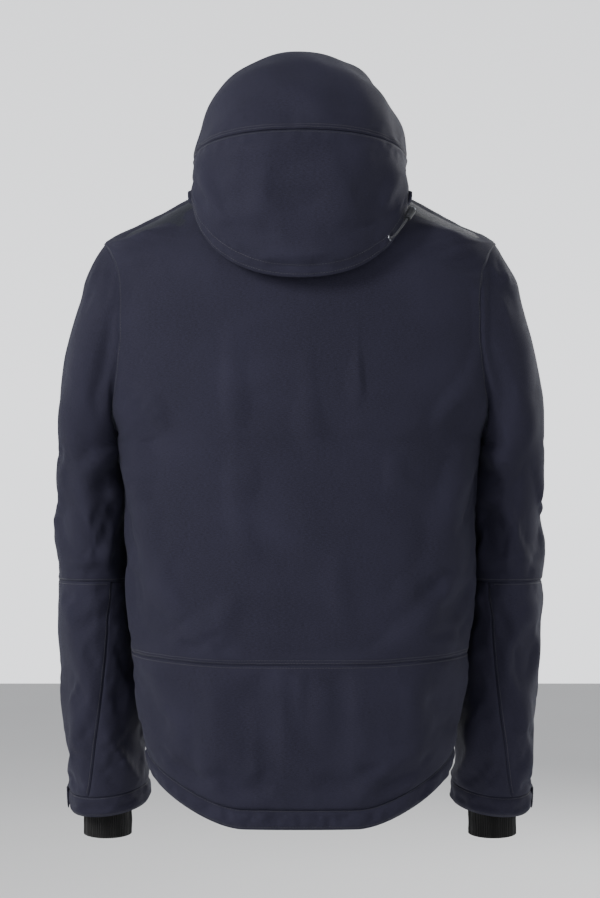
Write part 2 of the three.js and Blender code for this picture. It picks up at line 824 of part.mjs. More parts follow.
function collar(outer, inner) {
  const zipAngle = angleOf(zipEdge, 0, neckZ - neckDrop);
  const pointAt = (across, along, side) => {
    const angle = mix(zipAngle, 360 - zipAngle, across);
    const folded = Math.min(angle, 360 - angle);
    const base = bodyPoint(angle, necklineZ(folded), side ? inner : outer);
    const rise = collarHeight * along + 1;
    const lean = mix(1, collarLean, along * softStep(0, 40, folded));
    const straight = -(frontAt(base.z + rise) - frontAt(base.z)) * (1 - softStep(0, 60, folded));
    base.x *= lean;
    base.y = bodyMiddleY + (base.y - bodyMiddleY) * lean - straight;
    base.z += rise;
    return base;
  };
  return sheet(pointAt, 20, 3);
}

// ---- Main zip, in a frame of its own: +Z up the zip, -Y outwards ----

const zipLean = Math.atan(frontSlope);
const zipFrame = new THREE.Group();
zipFrame.position.set(0, -frontAt(zipTopZ), zipTopZ);
zipFrame.rotation.x = -zipLean;
zipFrame.updateMatrixWorld(true);
const zipLength = (zipTopZ - zipBottomZ) / Math.cos(zipLean);
const tapeFront = panelThickness + 0.7;
const teethFront = tapeFront - seamGap - teethDepth;

function zipTape(side) {
  const x = side * (zipSlot / 2 + tapeWidth / 2);
  const y = tapeFront + tapeThickness / 2;
  return block(tapeWidth, tapeThickness, zipLength, x, y, -zipLength / 2);
}

// The room that the panels leave for the tapes
function zipRoom() {
  const width = zipSlot + 2 * (tapeWidth + seamGap);
  const depth = tapeThickness + 2 * seamGap;
  const height = zipLength + 2 * endClearance;
  const room = block(width, depth, height, 0, tapeFront + tapeThickness / 2, -zipLength / 2);
  return room.applyMatrix4(zipFrame.matrixWorld);
}

// One row of teeth on its bead, standing on the tape between the top stop and the box
function zipTeeth(side) {
  const top = -stopHeight - endClearance;
  const bottom = boxHeight + endClearance - zipLength;
  const beadWidth = teethWidth * 0.6;
  const middleY = teethFront + teethDepth / 2;
  const beadX = side * (zipSlot / 2 + beadWidth / 2);
  const bead = block(beadWidth, teethDepth, top - bottom, beadX, middleY, (top + bottom) / 2);
  const toothX = side * (zipSlot / 2 + teethWidth * 0.7);
  const count = Math.floor((top - bottom) / teethPitch);
  const teeth = [];
  for (let k = 0; k < count; k += 1) {
    const z = top - (k + 0.5) * teethPitch;
    teeth.push(block(teethWidth * 0.6, teethDepth * 0.7, teethPitch * 0.5, toothX, middleY, z));
  }
  return joined(bead, ...teeth);
}

function zipStop(side) {
  const x = side * (zipSlot / 2 + teethWidth / 2);
  return block(teethWidth, teethDepth, stopHeight, x, teethFront + teethDepth / 2, -stopHeight / 2);
}

function zipBox() {
  const width = zipSlot + 2 * teethWidth;
  return block(width, teethDepth, boxHeight, 0, teethFront + teethDepth / 2, boxHeight / 2 - zipLength);
}

// Sliders: a front plate with a bridge for the puller. The front plate's back is at y 0.
const bridgeWidth = 2.6;
const bridgeHole = 3;
const bridgeRoof = 1.6;
const bridgeShare = 0.36; // half the bridge's length, as a share of the slider's
const pullerBar = 0.8;
const pullerWindow = 0.8; // the puller's window, as a share of the slider's length

function bridgeOn(length) {
  const half = length * bridgeShare;
  const top = bridgeHole + bridgeRoof;
  const outline = new THREE.Shape();
  outline.moveTo(-half, -0.4);
  outline.lineTo(half, -0.4);
  outline.lineTo(half, bridgeHole);
  outline.lineTo(half - bridgeRoof, top);
  outline.lineTo(-half + bridgeRoof, top);
  outline.lineTo(-half, bridgeHole);
  const hole = new THREE.Path();
  hole.moveTo(-half + bridgeRoof, 0.1);
  hole.lineTo(half - bridgeRoof, 0.1);
  hole.lineTo(half - bridgeRoof, bridgeHole);
  hole.lineTo(-half + bridgeRoof, bridgeHole);
  outline.holes.push(hole);
  const bridge = new THREE.ExtrudeGeometry(outline, { depth: bridgeWidth, bevelEnabled: false });
  const lengthways = new THREE.Vector3(0, 0, 1);
  const outwards = new THREE.Vector3(0, -1, 0);
  const sideways = new THREE.Vector3(1, 0, 0);
  bridge.translate(0, 0, -bridgeWidth / 2);
  bridge.applyMatrix4(new THREE.Matrix4().makeBasis(lengthways, outwards, sideways));
  return bridge.translate(0, -sliderPlate, 0);
}

// Where a puller's bar sits in its slider's own frame
function barPlace(length) {
  const z = -length * bridgeShare + bridgeRoof + pullerBar + sliderFit;
  return new THREE.Vector3(0, -sliderPlate - bridgeHole / 2, z);
}

function zipSlider(width, length) {
  const reach = tapeFront + tapeThickness - teethFront + 2 * sliderFit;
  const postWidth = zipSlot - 2 * sliderFit;
  const front = block(width, sliderPlate, length, 0, -sliderPlate / 2, 0);
  const post = block(postWidth, reach + sliderPlate, length * 0.3, 0, reach / 2, length * 0.33);
  const back = block(width, sliderPlate, length, 0, reach + sliderPlate / 2, 0);
  return joined(front, post, back, bridgeOn(length));
}

function coilSlider(width, length) {
  const front = block(width, sliderPlate, length, 0, -sliderPlate / 2, 0);
  const skirtX = pocketCoil / 2 + sliderFit + 0.5;
  const skirts = [-1, 1].map((side) => block(1, 1.6, length, side * skirtX, 0.4, 0));
  return joined(front, ...skirts, bridgeOn(length));
}

// A puller hanging from its bar, which lies along X at the origin of its own frame
function puller(length, width, window) {
  const bar = new THREE.CylinderGeometry(pullerBar, pullerBar, width, 8).rotateZ(Math.PI / 2);
  const armWidth = (width - bridgeWidth - 1) / 2;
  const armX = (width - armWidth) / 2;
  const arms = [-1, 1].map((side) =>
    block(armWidth, pullerThickness * 0.8, window + 1, side * armX, 0, -window / 2));
  const tab = block(width, pullerThickness, length - window, 0, 0, -(window + length) / 2);
  return joined(bar, ...arms, tab);
}

// A slider and its puller, at a place in a zip's frame
function addSlider(frame, name, pullerName, geometry, place, length, pullerGeometry) {
  const slider = addPiece(name, geometry, zipMetal, frame);
  slider.position.copy(place);
  const hanging = addPiece(pullerName, pullerGeometry, mouldedPlastic, frame);
  hanging.position.copy(place).add(barPlace(length));
}

// ---- Hand pockets, each in a frame set on the body's surface ----

function pocketFrame(side) {
  const middleAngle = (pocketTopAngle + pocketBottomAngle) / 2;
  const top = bodyPoint(pocketTopAngle, pocketTopZ);
  const bottom = bodyPoint(pocketBottomAngle, pocketTopZ - pocketLength);
  const middleZ = pocketTopZ - pocketLength / 2;
  const middle = top.clone().add(bottom).multiplyScalar(0.5);
  const outward = bodyOutward(middleAngle, middleZ);
  const up = top.clone().sub(bottom).normalize();
  outward.addScaledVector(up, -outward.dot(up)).normalize();
  if (side < 0) {
    middle.x *= -1;
    outward.x *= -1;
    up.x *= -1;
  }
  const across = new THREE.Vector3().crossVectors(up, outward).negate();
  const frame = new THREE.Group();
  frame.matrix.makeBasis(across.negate(), outward.clone().negate(), up);
  frame.matrix.setPosition(middle);
  frame.matrix.decompose(frame.position, frame.quaternion, frame.scale);
  frame.updateMatrixWorld(true);
  return frame;
}

const coilFront = pocketRecess - coilDepth + coilSink;

function pocketTape() {
  const width = pocketSlotWidth - 2 * seamGap;
  const length = pocketLength - 2 * seamGap;
  const tape = block(width, pocketTapeDepth, length, 0, pocketRecess + pocketTapeDepth / 2, 0);
  const coil = block(pocketCoil, coilDepth, length - coilEnds, 0, coilFront + coilDepth / 2, 0);
  return joined(tape, coil);
}

// The opening through the front panel, and the bag's mouth behind it
function pocketSlot(depth) {
  const slot = block(pocketSlotWidth, 2 * depth, pocketLength);
  return slot.applyMatrix4(pocketFrame(1).matrixWorld);
}

// A flat bag behind the front panel, its cloth pulled in by inset on every side
function bagShape(inset) {
  return frontSheet(bagColumns, bagRows, () => bagOuterDepth + inset, pocketBagDepth - 2 * inset, inset);
}

function pocketBag() {
  return cutBy(bagShape(0), bagShape(bagWall), pocketSlot(bagOuterDepth + bagWall + 1.5));
}

// ---- Hood adjuster on the wearer's right ----

// The cord leaves its eyelet near the hood's free edge and climbs to the lock
const cordRoute = [
  [-105.4, 107, -65],
  [-107.6, 108.2, -64.8],
  [-109.8, 107.7, -63],
  [-113.9, 102.4, -58.2],
  [-119.3, 97, -51],
  [-123.2, 92.2, -45.4],
  [-125.4, 88.9, -41.6],
].map(([x, y, z]) => new THREE.Vector3(x, y, z));

function hoodCord() {
  const section = new THREE.Shape();
  section.absarc(0, 0, cordRadius, 0, Math.PI * 2);
  const path = new THREE.CatmullRomCurve3(cordRoute);
  const tube = { extrudePath: path, steps: 14, curveSegments: 4, bevelEnabled: false };
  return new THREE.ExtrudeGeometry(section, tube);
}

// The eyelet that the cord leaves by, a flat ring on the hood's free edge
function hoodEyelet() {
  const ring = new THREE.Shape();
  ring.absarc(0, 0, eyeletRadius, 0, Math.PI * 2);
  const hole = new THREE.Path();
  hole.absarc(0, 0, cordRadius + eyeletClearance, 0, Math.PI * 2);
  ring.holes.push(hole);
  return new THREE.ExtrudeGeometry(ring, { depth: eyeletDepth, bevelEnabled: false, curveSegments: 5 });
}

// The lock is a barrel with a plunger in its upper end
function cordLock() {
  const barrel = new THREE.CylinderGeometry(lockRadius, lockRadius * 0.8, lockLength, 12);
  const wellRadius = lockRadius - lockWall;
  const well = new THREE.CylinderGeometry(wellRadius, wellRadius, lockLength, 12);
  return cutBy(barrel.rotateX(Math.PI / 2), well.rotateX(Math.PI / 2).translate(0, 0, lockWellFloor));
}

function lockPlunger() {
  const radius = lockRadius - lockWall - sliderFit;
  return new THREE.CylinderGeometry(radius, radius, plungerLength, 12).rotateX(Math.PI / 2);
}

// ---- Hang loop ----

// A flat strip with a slot for the hook. The hook bears on the slot's upper edge, at height 0.
function hangLoop() {
  const half = loopWidth / 2;
  const outline = new THREE.Shape();
  outline.moveTo(-half, -loopHeight - loopThickness);
  outline.lineTo(half, -loopHeight - loopThickness);
  outline.lineTo(half, loopThickness);
  outline.lineTo(-half, loopThickness);
  const hole = new THREE.Path();
  hole.moveTo(-half + loopEnd, -loopHeight);
  hole.lineTo(half - loopEnd, -loopHeight);
  hole.lineTo(half - loopEnd, 0);
  hole.lineTo(-half + loopEnd, 0);
  outline.holes.push(hole);
  const loop = new THREE.ExtrudeGeometry(outline, { depth: loopThickness, bevelEnabled: false });
  return loop.rotateX(Math.PI / 2).translate(0, loopThickness / 2, 0);
}

// The loop's ends touch the back lining, which is flat between its columns
function loopPlaceY() {
  const depth = liningDepth + liningThickness + seamGap;
  const edge = backEdgeAngle(neckZ);
  const columnAt = (k) => bodyPoint(mix(edge, 360 - edge, k / liningColumns), loopThickness + 0.5, depth);
  const middle = columnAt(liningColumns / 2);
  const beside = columnAt(liningColumns / 2 + 1);
  const share = Math.min(1, loopWidth / 2 / Math.abs(beside.x));
  return mix(middle.y, beside.y, share) - loopThickness / 2;
}

// ---- Assembly ----

// A piece made for the wearer's left, and its mirror image for the right
function addPair(name, geometry, itsMaterial) {
  addPiece(`${name}_left`, geometry, itsMaterial);
  addPiece(`${name}_right`, mirrorImage(geometry), itsMaterial);
}

function addBody() {
  addPiece("back_panel", backPanel(0, panelThickness, backColumns), shellFabric);
  addPiece("back_lower_panel", lowerBackPanel(), shellFabric);
  addPiece("hem_band_back", hemBandPiece(acrossBack, backColumns), shellFabric);
  const front = frontPanel(0, panelThickness);
  addPair("front_panel", cutBy(front, zipRoom(), pocketSlot(4 * panelThickness)), shellFabric);
  const hemFront = hemBandPiece([angleOf(zipEdge, 0, hemZ), frontSideAngle], frontColumns);
  addPair("hem_band_front", cutBy(hemFront, zipRoom()), shellFabric);
  addPiece("collar", cutBy(collar(0, panelThickness), zipRoom()), shellFabric);
  const lining = backPanel(liningDepth, liningDepth + liningThickness, liningColumns);
  addPiece("lining_back", lining, liningFabric);
  addPair("lining_front", frontLining(), liningFabric);
}

function addSleeves() {
  const bandTop = stationAtZ(sleeveElbowZ + elbowBand);
  const elbow = stationAtZ(sleeveElbowZ);
  const gap = stationAtZ(sleeveElbowZ - seamGap) - elbow;
  const roomDepth = liningDepth + liningThickness + seamGap;
  const backRoom = backPanel(-seamGap, roomDepth, backColumns, 0);
  const frontRoom = frontPanel(-seamGap, roomDepth, 0);
  const sleeve = cutBy(sleeveTube(0, bandTop - gap, 8), backRoom, mirrorImage(backRoom), frontRoom);
  addPair("sleeve_upper", sleeve, shellFabric);
  addPair("sleeve_elbow", sleeveTube(bandTop, elbow, 3), shellFabric);
  addPair("sleeve_lower", forearmPanel(false), shellFabric);
  addPair("sleeve_under", forearmPanel(true), shellFabric);
  addPair("cuff_band", sleeveTube(cuffStation, sleeveStations.length - 1, 1), shellFabric);
  addPair("cuff_tab", cuffTab(), shellFabric);
  addPair("wrist_gaiter", wristGaiter(), gaiterKnit);
}

function addHood() {
  const gap = 0.002; // as a share of the way back
  const brim = hoodPanel(0, brimWidthAt, 16, 1, -brimExtra, hoodThickness + brimExtra);
  addPiece("hood_brim", brim, shellFabric);
  addPiece("hood_crown_panel", hoodPanel(brimWidthAt + gap, hoodSeamAt, 16, 7), shellFabric);
  addPiece("hood_back_panel", hoodPanel(hoodSeamAt + gap, 1, 16, 6), shellFabric);
  addPiece("hood_neck_panel", hoodNeckPanel(), liningFabric);
}

function addMainZip() {
  worn.add(zipFrame);
  addPiece("zip_tape_left", zipTape(1), zipTapeWeave, zipFrame);
  addPiece("zip_tape_right", zipTape(-1), zipTapeWeave, zipFrame);
  addPiece("zip_teeth_left", zipTeeth(1), mouldedPlastic, zipFrame);
  addPiece("zip_teeth_right", zipTeeth(-1), mouldedPlastic, zipFrame);
  addPiece("zip_stop_left", zipStop(1), zipMetal, zipFrame);
  addPiece("zip_stop_right", zipStop(-1), zipMetal, zipFrame);
  addPiece("zip_box", zipBox(), mouldedPlastic, zipFrame);
  const z = -stopHeight - endClearance - sliderLength / 2;
  const place = new THREE.Vector3(0, teethFront - sliderFit, z);
  const body = zipSlider(2 * (zipEdge - 1), sliderLength);
  const pull = puller(pullerLength, pullerWidth, sliderLength * pullerWindow);
  addSlider(zipFrame, "main_slider", "main_puller", body, place, sliderLength, pull);
  addPiece("storm_placket", stormPlacket(), shellFabric);
}

function addPockets() {
  for (const [side, word] of [[1, "left"], [-1, "right"]]) {
    const frame = pocketFrame(side);
    worn.add(frame);
    addPiece(`pocket_zip_${word}`, pocketTape(), zipTapeWeave, frame);
    const length = sliderLength * pocketScale;
    const z = pocketLength / 2 - pocketEnd - length / 2;
    const place = new THREE.Vector3(0, coilFront - sliderFit, z);
    const body = coilSlider(pocketCoil + 4, length);
    const pull = puller(pullerLength * pocketScale, pullerWidth * 0.85, length * pullerWindow);
    addSlider(frame, `pocket_slider_${word}`, `pocket_puller_${word}`, body, place, length, pull);
  }
  addPair("pocket_bag", pocketBag(), liningFabric);
}

function addHoodAdjuster() {
  addPiece("hood_cord", hoodCord(), cordWeave);
  const first = cordRoute[0];
  const last = cordRoute[cordRoute.length - 1];
  const leaving = cordRoute[1].clone().sub(first).normalize();
  const arriving = last.clone().sub(cordRoute[cordRoute.length - 2]).normalize();
  const forward = new THREE.Vector3(0, 0, 1);
  const eyelet = addPiece("hood_eyelet", hoodEyelet(), zipMetal);
  eyelet.quaternion.setFromUnitVectors(forward, leaving);
  eyelet.position.copy(first).addScaledVector(leaving, -eyeletDepth - seamGap);
  const lockFrame = new THREE.Group();
  lockFrame.quaternion.setFromUnitVectors(forward, arriving);
  lockFrame.position.copy(last).addScaledVector(arriving, lockLength / 2 + seamGap);
  worn.add(lockFrame);
  addPiece("cord_lock", cordLock(), mouldedPlastic, lockFrame);
  const plunger = addPiece("cord_lock_plunger", lockPlunger(), zipMetal, lockFrame);
  const wellFloor = lockWellFloor - lockLength / 2;
  plunger.position.z = wellFloor + plungerTravel + seamGap + plungerLength / 2;
}

addBody();
addSleeves();
addHood();
addMainZip();
addPockets();
addHoodAdjuster();
const loopY = loopPlaceY();
addPiece("hang_loop", hangLoop(), zipTapeWeave).position.y = loopY;
worn.position.y = -loopY;

export default jacket;
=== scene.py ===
"""A hooded, padded foul weather jacket: cloth, seams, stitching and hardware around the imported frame.

Shapes are worked out in millimetres, in the jacket's own coordinates (the body's middle line at
x 0, y about 0), and moved into the frame, in metres, when a mesh is made.
"""

import math

import bpy
import numpy as np
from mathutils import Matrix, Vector


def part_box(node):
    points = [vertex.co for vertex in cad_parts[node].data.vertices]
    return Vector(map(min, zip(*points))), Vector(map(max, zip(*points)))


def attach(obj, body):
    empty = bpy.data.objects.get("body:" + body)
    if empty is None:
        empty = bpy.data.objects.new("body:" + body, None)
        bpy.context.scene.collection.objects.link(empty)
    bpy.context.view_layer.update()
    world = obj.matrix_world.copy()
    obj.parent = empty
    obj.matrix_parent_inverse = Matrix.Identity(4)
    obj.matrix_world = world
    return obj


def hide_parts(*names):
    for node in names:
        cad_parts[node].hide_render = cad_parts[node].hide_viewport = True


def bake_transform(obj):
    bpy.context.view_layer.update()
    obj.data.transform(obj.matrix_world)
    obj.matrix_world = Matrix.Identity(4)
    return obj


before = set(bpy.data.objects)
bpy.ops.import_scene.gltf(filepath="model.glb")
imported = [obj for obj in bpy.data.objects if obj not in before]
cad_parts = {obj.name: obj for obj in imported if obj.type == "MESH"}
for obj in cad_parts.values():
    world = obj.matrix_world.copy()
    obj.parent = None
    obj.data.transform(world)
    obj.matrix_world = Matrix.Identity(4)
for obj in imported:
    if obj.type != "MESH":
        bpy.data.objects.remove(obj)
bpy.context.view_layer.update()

# ---- Sizes taken from the frame ----

MM = 0.001
SIDES = ((1, "left"), (-1, "right"))


def box_mm(node):
    """A node's lowest and highest corners, in millimetres."""
    low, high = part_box(node)
    return np.array(low) / MM, np.array(high) / MM


back_low, back_high = box_mm("back_panel")
hem_low, _ = box_mm("hem_band_back")
drop_low, _ = box_mm("hood_back_panel")
elbow_low, _ = box_mm("sleeve_elbow_left")

CHEST_BACK = 130.0
SHIFT_Y = CHEST_BACK - back_high[1]  # how far behind the jacket's own zero the frame's origin lies

NECK_Z = back_high[2]
NECK_DROP = 74.0
SHOULDER_Z = NECK_Z - 78
UNDERARM_Z = SHOULDER_Z - 234
WAIST_Z = back_low[2] + 8
HEM_BAND = 24.0
TAIL_DROP = 63.0
HEM_Z = hem_low[2] + TAIL_DROP
NECK_HALF = 93.0
SHOULDER_HALF = 236.0
ARMHOLE_HALF = 248.0
UNDERARM_HALF = 217.0
WAIST_HALF = 201.0
HEM_HALF = 182.0
NECK_BACK = 72.0
SHOULDER_BACK = 106.0
HEM_BACK = 121.0
FRONT_AT_NECK = 93.0
FRONT_SLOPE = 0.0674
MIDDLE_Y = -5.0
ARM_ANGLE = 91.0
ARM_BACK_SPREAD = 18.0
ARM_FRONT_SPREAD = 21.0
NECK_SIDE_ANGLE = 80.0
ZIP_EDGE = 6.5
ZIP_TOP_Z = -9.0
ZIP_BOTTOM_Z = -676.0
COLLAR_HEIGHT = 58.0
COLLAR_START = 1.0  # the collar begins this far above the neckline
COLLAR_LEAN = 0.9  # its top edge's size, as a share of the neckline's

PANEL = 4.6  # shell cloth and padding
LINING_DEPTH = 6.1
LINING = 1.0
THINNEST = 0.6  # a panel is nowhere thinner than this
SEAM_GAP = -0.3  # two sewn panels overlap by this much

ELBOW_Z = elbow_low[2]
CUFF_Z = -722.0
SLEEVE_END_Z = -748.0
PIVOT_X = 214.0
PIVOT_Z = -308.0

HOOD_TOP_Z = 164.0
HOOD_HALF = 127.0
HOOD_BACK_Y = 143.0
HOOD_DROP_Z = drop_low[2]
HOOD_BRIM_Y = -100.0
HOOD_BRIM_Z = 122.0
HOOD_SEAM = 0.615
BRIM_SHARE = 0.055
HOOD_FOOT_GAP = 7.0


# ---- Small helpers ----


def mix(a, b, share):
    return a + (b - a) * share


def soft_step(low, high, value):
    share = np.clip((value - low) / (high - low), 0, 1)
    return share * share * (3 - 2 * share)


def through(stations, where):
    """A smooth value through (where, value) stations that never overshoots them."""
    x = np.array([s[0] for s in stations], float)
    y = np.array([s[1] for s in stations], float)
    slope = np.diff(y) / np.diff(x)
    lean = np.concatenate([slope[:1], np.zeros(len(x) - 2), slope[-1:]])
    product = slope[:-1] * slope[1:]
    total = np.where(product > 0, slope[:-1] + slope[1:], 1)
    lean[1:-1] = np.where(product > 0, 2 * product / total, 0)
    at = np.clip(where, x[0], x[-1])
    i = np.clip(np.searchsorted(x, at, side="right") - 1, 0, len(x) - 2)
    span = x[i + 1] - x[i]
    t = (at - x[i]) / span
    settle = (y[i + 1] - y[i]) * t * t * (3 - 2 * t)
    lead = span * lean[i] * t * (1 - t) ** 2
    trail = span * lean[i + 1] * t * t * (1 - t)
    return y[i] + settle + lead - trail


def stack(x, y, z):
    return np.stack(np.broadcast_arrays(x, y, z), axis=-1)


def unit(vectors):
    return vectors / np.maximum(np.linalg.norm(vectors, axis=-1, keepdims=True), 1e-9)


# ---- The body's surface ----

HALF_WIDTHS = [
    (HEM_Z - TAIL_DROP, HEM_HALF - 6),
    (HEM_Z, HEM_HALF),
    (WAIST_Z, WAIST_HALF),
    (mix(WAIST_Z, UNDERARM_Z, 0.4), mix(WAIST_HALF, UNDERARM_HALF, 0.42)),
    (UNDERARM_Z - 50, UNDERARM_HALF - 4),
    (UNDERARM_Z, UNDERARM_HALF),
    (UNDERARM_Z + 44, ARMHOLE_HALF - 11),
    (mix(UNDERARM_Z, SHOULDER_Z, 0.6), ARMHOLE_HALF),
    (SHOULDER_Z - 26, SHOULDER_HALF + 6),
    (SHOULDER_Z, SHOULDER_HALF),
    (mix(SHOULDER_Z, NECK_Z, 0.35), mix(SHOULDER_HALF, NECK_HALF, 0.35)),
    (mix(SHOULDER_Z, NECK_Z, 0.7), mix(SHOULDER_HALF, NECK_HALF, 0.7)),
    (NECK_Z, NECK_HALF),
]
BACKS = [
    (HEM_Z - TAIL_DROP, HEM_BACK),
    (WAIST_Z, CHEST_BACK - 2),
    (mix(UNDERARM_Z, WAIST_Z, 0.3), CHEST_BACK),
    (UNDERARM_Z, CHEST_BACK),
    (mix(UNDERARM_Z, SHOULDER_Z, 0.6), mix(CHEST_BACK, SHOULDER_BACK, 0.4)),
    (SHOULDER_Z, SHOULDER_BACK),
    (NECK_Z, NECK_BACK),
]
ROUNDNESS = [
    (UNDERARM_Z, 2.5),
    (mix(UNDERARM_Z, SHOULDER_Z, 0.6), 2.3),
    (SHOULDER_Z - 26, 2),
    (SHOULDER_Z, 1.9),
    (NECK_Z, 2),
]


def front_at(z):
    return FRONT_AT_NECK - FRONT_SLOPE * z


def body_point(angle, z, depth=0.0):
    """The body's surface at an angle round from the zip, in degrees, pulled in by depth."""
    turn = np.radians(angle)
    half_width = through(HALF_WIDTHS, z) - depth
    front = front_at(z) + MIDDLE_Y
    back = through(BACKS, z) - MIDDLE_Y
    half_depth = np.where(np.cos(turn) > 0, front, back) - depth
    power = through(ROUNDNESS, z)
    sideways = np.abs(np.sin(turn)) / half_width
    forward = np.abs(np.cos(turn)) / half_depth
    reach = (sideways ** power + forward ** power) ** (-1 / power)
    return stack(reach * np.sin(turn), MIDDLE_Y - reach * np.cos(turn), z)


def armhole_reach(z):
    middle = (SHOULDER_Z + UNDERARM_Z) / 2
    half = (SHOULDER_Z - UNDERARM_Z) / 2
    return np.sqrt(np.clip(1 - ((z - middle) / half) ** 2, 0, None))


def angle_of(length, angle, z):
    """The angle that a length of the body's outline takes up."""
    away = np.linalg.norm(body_point(angle, z)[..., :2] - np.array([0, MIDDLE_Y]), axis=-1)
    return np.degrees(length / away)


def back_edge(z):
    edge = ARM_ANGLE + ARM_BACK_SPREAD * armhole_reach(z)
    return edge + angle_of(SEAM_GAP, edge, z)


def front_edge(z):
    edge = ARM_ANGLE - ARM_FRONT_SPREAD * armhole_reach(z)
    return edge - angle_of(SEAM_GAP, edge, z)


def folded(angle):
    return np.minimum(angle, 360 - angle)


def neckline_z(angle):
    turn = np.minimum(1, np.abs(angle) / NECK_SIDE_ANGLE)
    return NECK_Z - NECK_DROP * np.cos(turn * math.pi / 2) ** 2


def neckline_angle(z):
    share = np.sqrt(np.clip((NECK_Z - z) / NECK_DROP, 0, 1))
    angle = NECK_SIDE_ANGLE * np.arccos(share) / (math.pi / 2)
    return np.where(z <= NECK_Z - NECK_DROP, 0, angle)


def waist_at(angle):
    return WAIST_Z - 8 * soft_step(95, 150, folded(angle))


def hem_at(angle):
    return HEM_Z - TAIL_DROP * soft_step(88, 152, folded(angle))


def back_surface(across, along, depth=0.0):
    level = mix(WAIST_Z + SEAM_GAP, NECK_Z, along)
    edge = back_edge(level)
    angle = mix(edge, 360 - edge, across)
    below = 1 - soft_step(0, 0.35, along)
    return body_point(angle, level + (waist_at(angle) - WAIST_Z) * below, depth)


def front_surface(across, along, depth=0.0):
    level = mix(HEM_Z + HEM_BAND + SEAM_GAP, NECK_Z - 2, along)
    beside_neck = np.where(level > NECK_Z - NECK_DROP, 1.0, 0.0)
    near = np.maximum(angle_of(ZIP_EDGE, 0, level), neckline_angle(level) + beside_neck)
    angle = mix(near, front_edge(level), across)
    low = 1 - soft_step(0, 0.12, along)
    return body_point(angle, level + (hem_at(angle) - HEM_Z) * low, depth)


SIDE_ANGLE = float(back_edge(np.array(HEM_Z)))
FRONT_SIDE_ANGLE = float(front_edge(np.array(HEM_Z)))


def band_surface(angles, bottom, top):
    def surface(across, along):
        angle = mix(angles[0], angles[1], across)
        return body_point(angle, mix(bottom(angle), top(angle), along))
    return surface


def collar_surface(across, along):
    zip_angle = float(angle_of(ZIP_EDGE, 0, np.array(NECK_Z - NECK_DROP)))
    angle = mix(zip_angle, 360 - zip_angle, across)
    fold = folded(angle)
    base = body_point(angle, neckline_z(fold))
    rise = COLLAR_HEIGHT * along + COLLAR_START
    lean = mix(1, COLLAR_LEAN, along * soft_step(0, 40, fold))
    z = base[..., 2]
    straight = -(front_at(z + rise) - front_at(z)) * (1 - soft_step(0, 60, fold))
    x = base[..., 0] * lean
    y = MIDDLE_Y + (base[..., 1] - MIDDLE_Y) * lean - straight
    return stack(x, y, z + rise)


# ---- The sleeves' surface ----

SLEEVE_X = 249.0
FAN_TILTS = [84, 72, 58, 42, 24, 6]
FAN_REACHES = [238, 190, 136, 105, 87.5, 81]
FAN_INNER = 6.0
HALF_WIDTH = 45.0
HALF_DEPTH = 75.0
CUFF_HALF_WIDTH = 50.0
CUFF_HALF_DEPTH = 58.0
SLEEVE_TUCK = 1.5


def fan_station(k):
    tilt = math.radians(FAN_TILTS[k])
    middle = (FAN_INNER + FAN_REACHES[k]) / 2
    down = k / (len(FAN_TILTS) - 1)
    return dict(
        x=PIVOT_X + middle * math.cos(tilt),
        y=mix(MIDDLE_Y, -22, down),
        z=PIVOT_Z + middle * math.sin(tilt),
        half_width=(FAN_REACHES[k] - FAN_INNER) / 2,
        half_depth=mix(HALF_DEPTH - 2, HALF_DEPTH + 3, down),
        tilt=FAN_TILTS[k],
        lean=0,
    )


def straight_station(z, y, share, x=None):
    return dict(
        x=mix(SLEEVE_X, SLEEVE_X - 14, share) if x is None else x,
        y=y,
        z=z,
        half_width=mix(HALF_WIDTH, CUFF_HALF_WIDTH, min(1, share * 1.4)),
        half_depth=mix(HALF_DEPTH, CUFF_HALF_DEPTH, share),
        tilt=mix(0, -7, share),
        lean=mix(0, 11, float(soft_step(0, 0.5, share))),
    )


BELOW_ELBOW = CUFF_Z - ELBOW_Z
STATIONS = [fan_station(k) for k in range(len(FAN_TILTS))] + [
    straight_station(PIVOT_Z - 42, -40, -0.15, SLEEVE_X + 4),
    straight_station(mix(PIVOT_Z, ELBOW_Z, 0.63), -48, -0.05, SLEEVE_X + 1.5),
    straight_station(ELBOW_Z, -53, 0),
    straight_station(ELBOW_Z + 0.36 * BELOW_ELBOW, -66, 0.33),
    straight_station(ELBOW_Z + 0.7 * BELOW_ELBOW, -84, 0.65),
    straight_station(CUFF_Z, -101, 0.95),
    straight_station(SLEEVE_END_Z, -107, 1),
]
ELBOW_STATION = 8
CUFF_STATION = 11
END_STATION = 12


def sleeve_value(key, station):
    return through([(k, s[key]) for k, s in enumerate(STATIONS)], station)


def armhole_point(turn, depth):
    middle = (SHOULDER_Z + UNDERARM_Z) / 2
    half = (SHOULDER_Z - UNDERARM_Z) / 2 - depth * 0.4
    swing = np.sin(np.radians(turn))
    spread = np.where(swing >= 0, ARM_BACK_SPREAD, ARM_FRONT_SPREAD)
    z = middle + half * np.cos(np.radians(turn))
    return body_point(ARM_ANGLE + spread * swing, z, depth) - np.array([SLEEVE_TUCK, 0, 0])


def sleeve_point(station, turn, depth=0.0):
    """The sleeve's surface. Turn 0 is its outer side, 90 its back."""
    tilt = np.radians(sleeve_value("tilt", station))
    lean = np.radians(sleeve_value("lean", station))
    wide = (sleeve_value("half_width", station) - depth) * np.cos(np.radians(turn))
    deep = (sleeve_value("half_depth", station) - depth) * np.sin(np.radians(turn))
    x = sleeve_value("x", station) + wide * np.cos(tilt)
    y = sleeve_value("y", station) + deep * np.cos(lean)
    z = sleeve_value("z", station) + wide * np.sin(tilt) - deep * np.sin(lean)
    free = stack(x, y, z)
    sewn = (1 - soft_step(0, 2.2, station))[..., None]
    return mix(free, armhole_point(turn, depth), sewn)


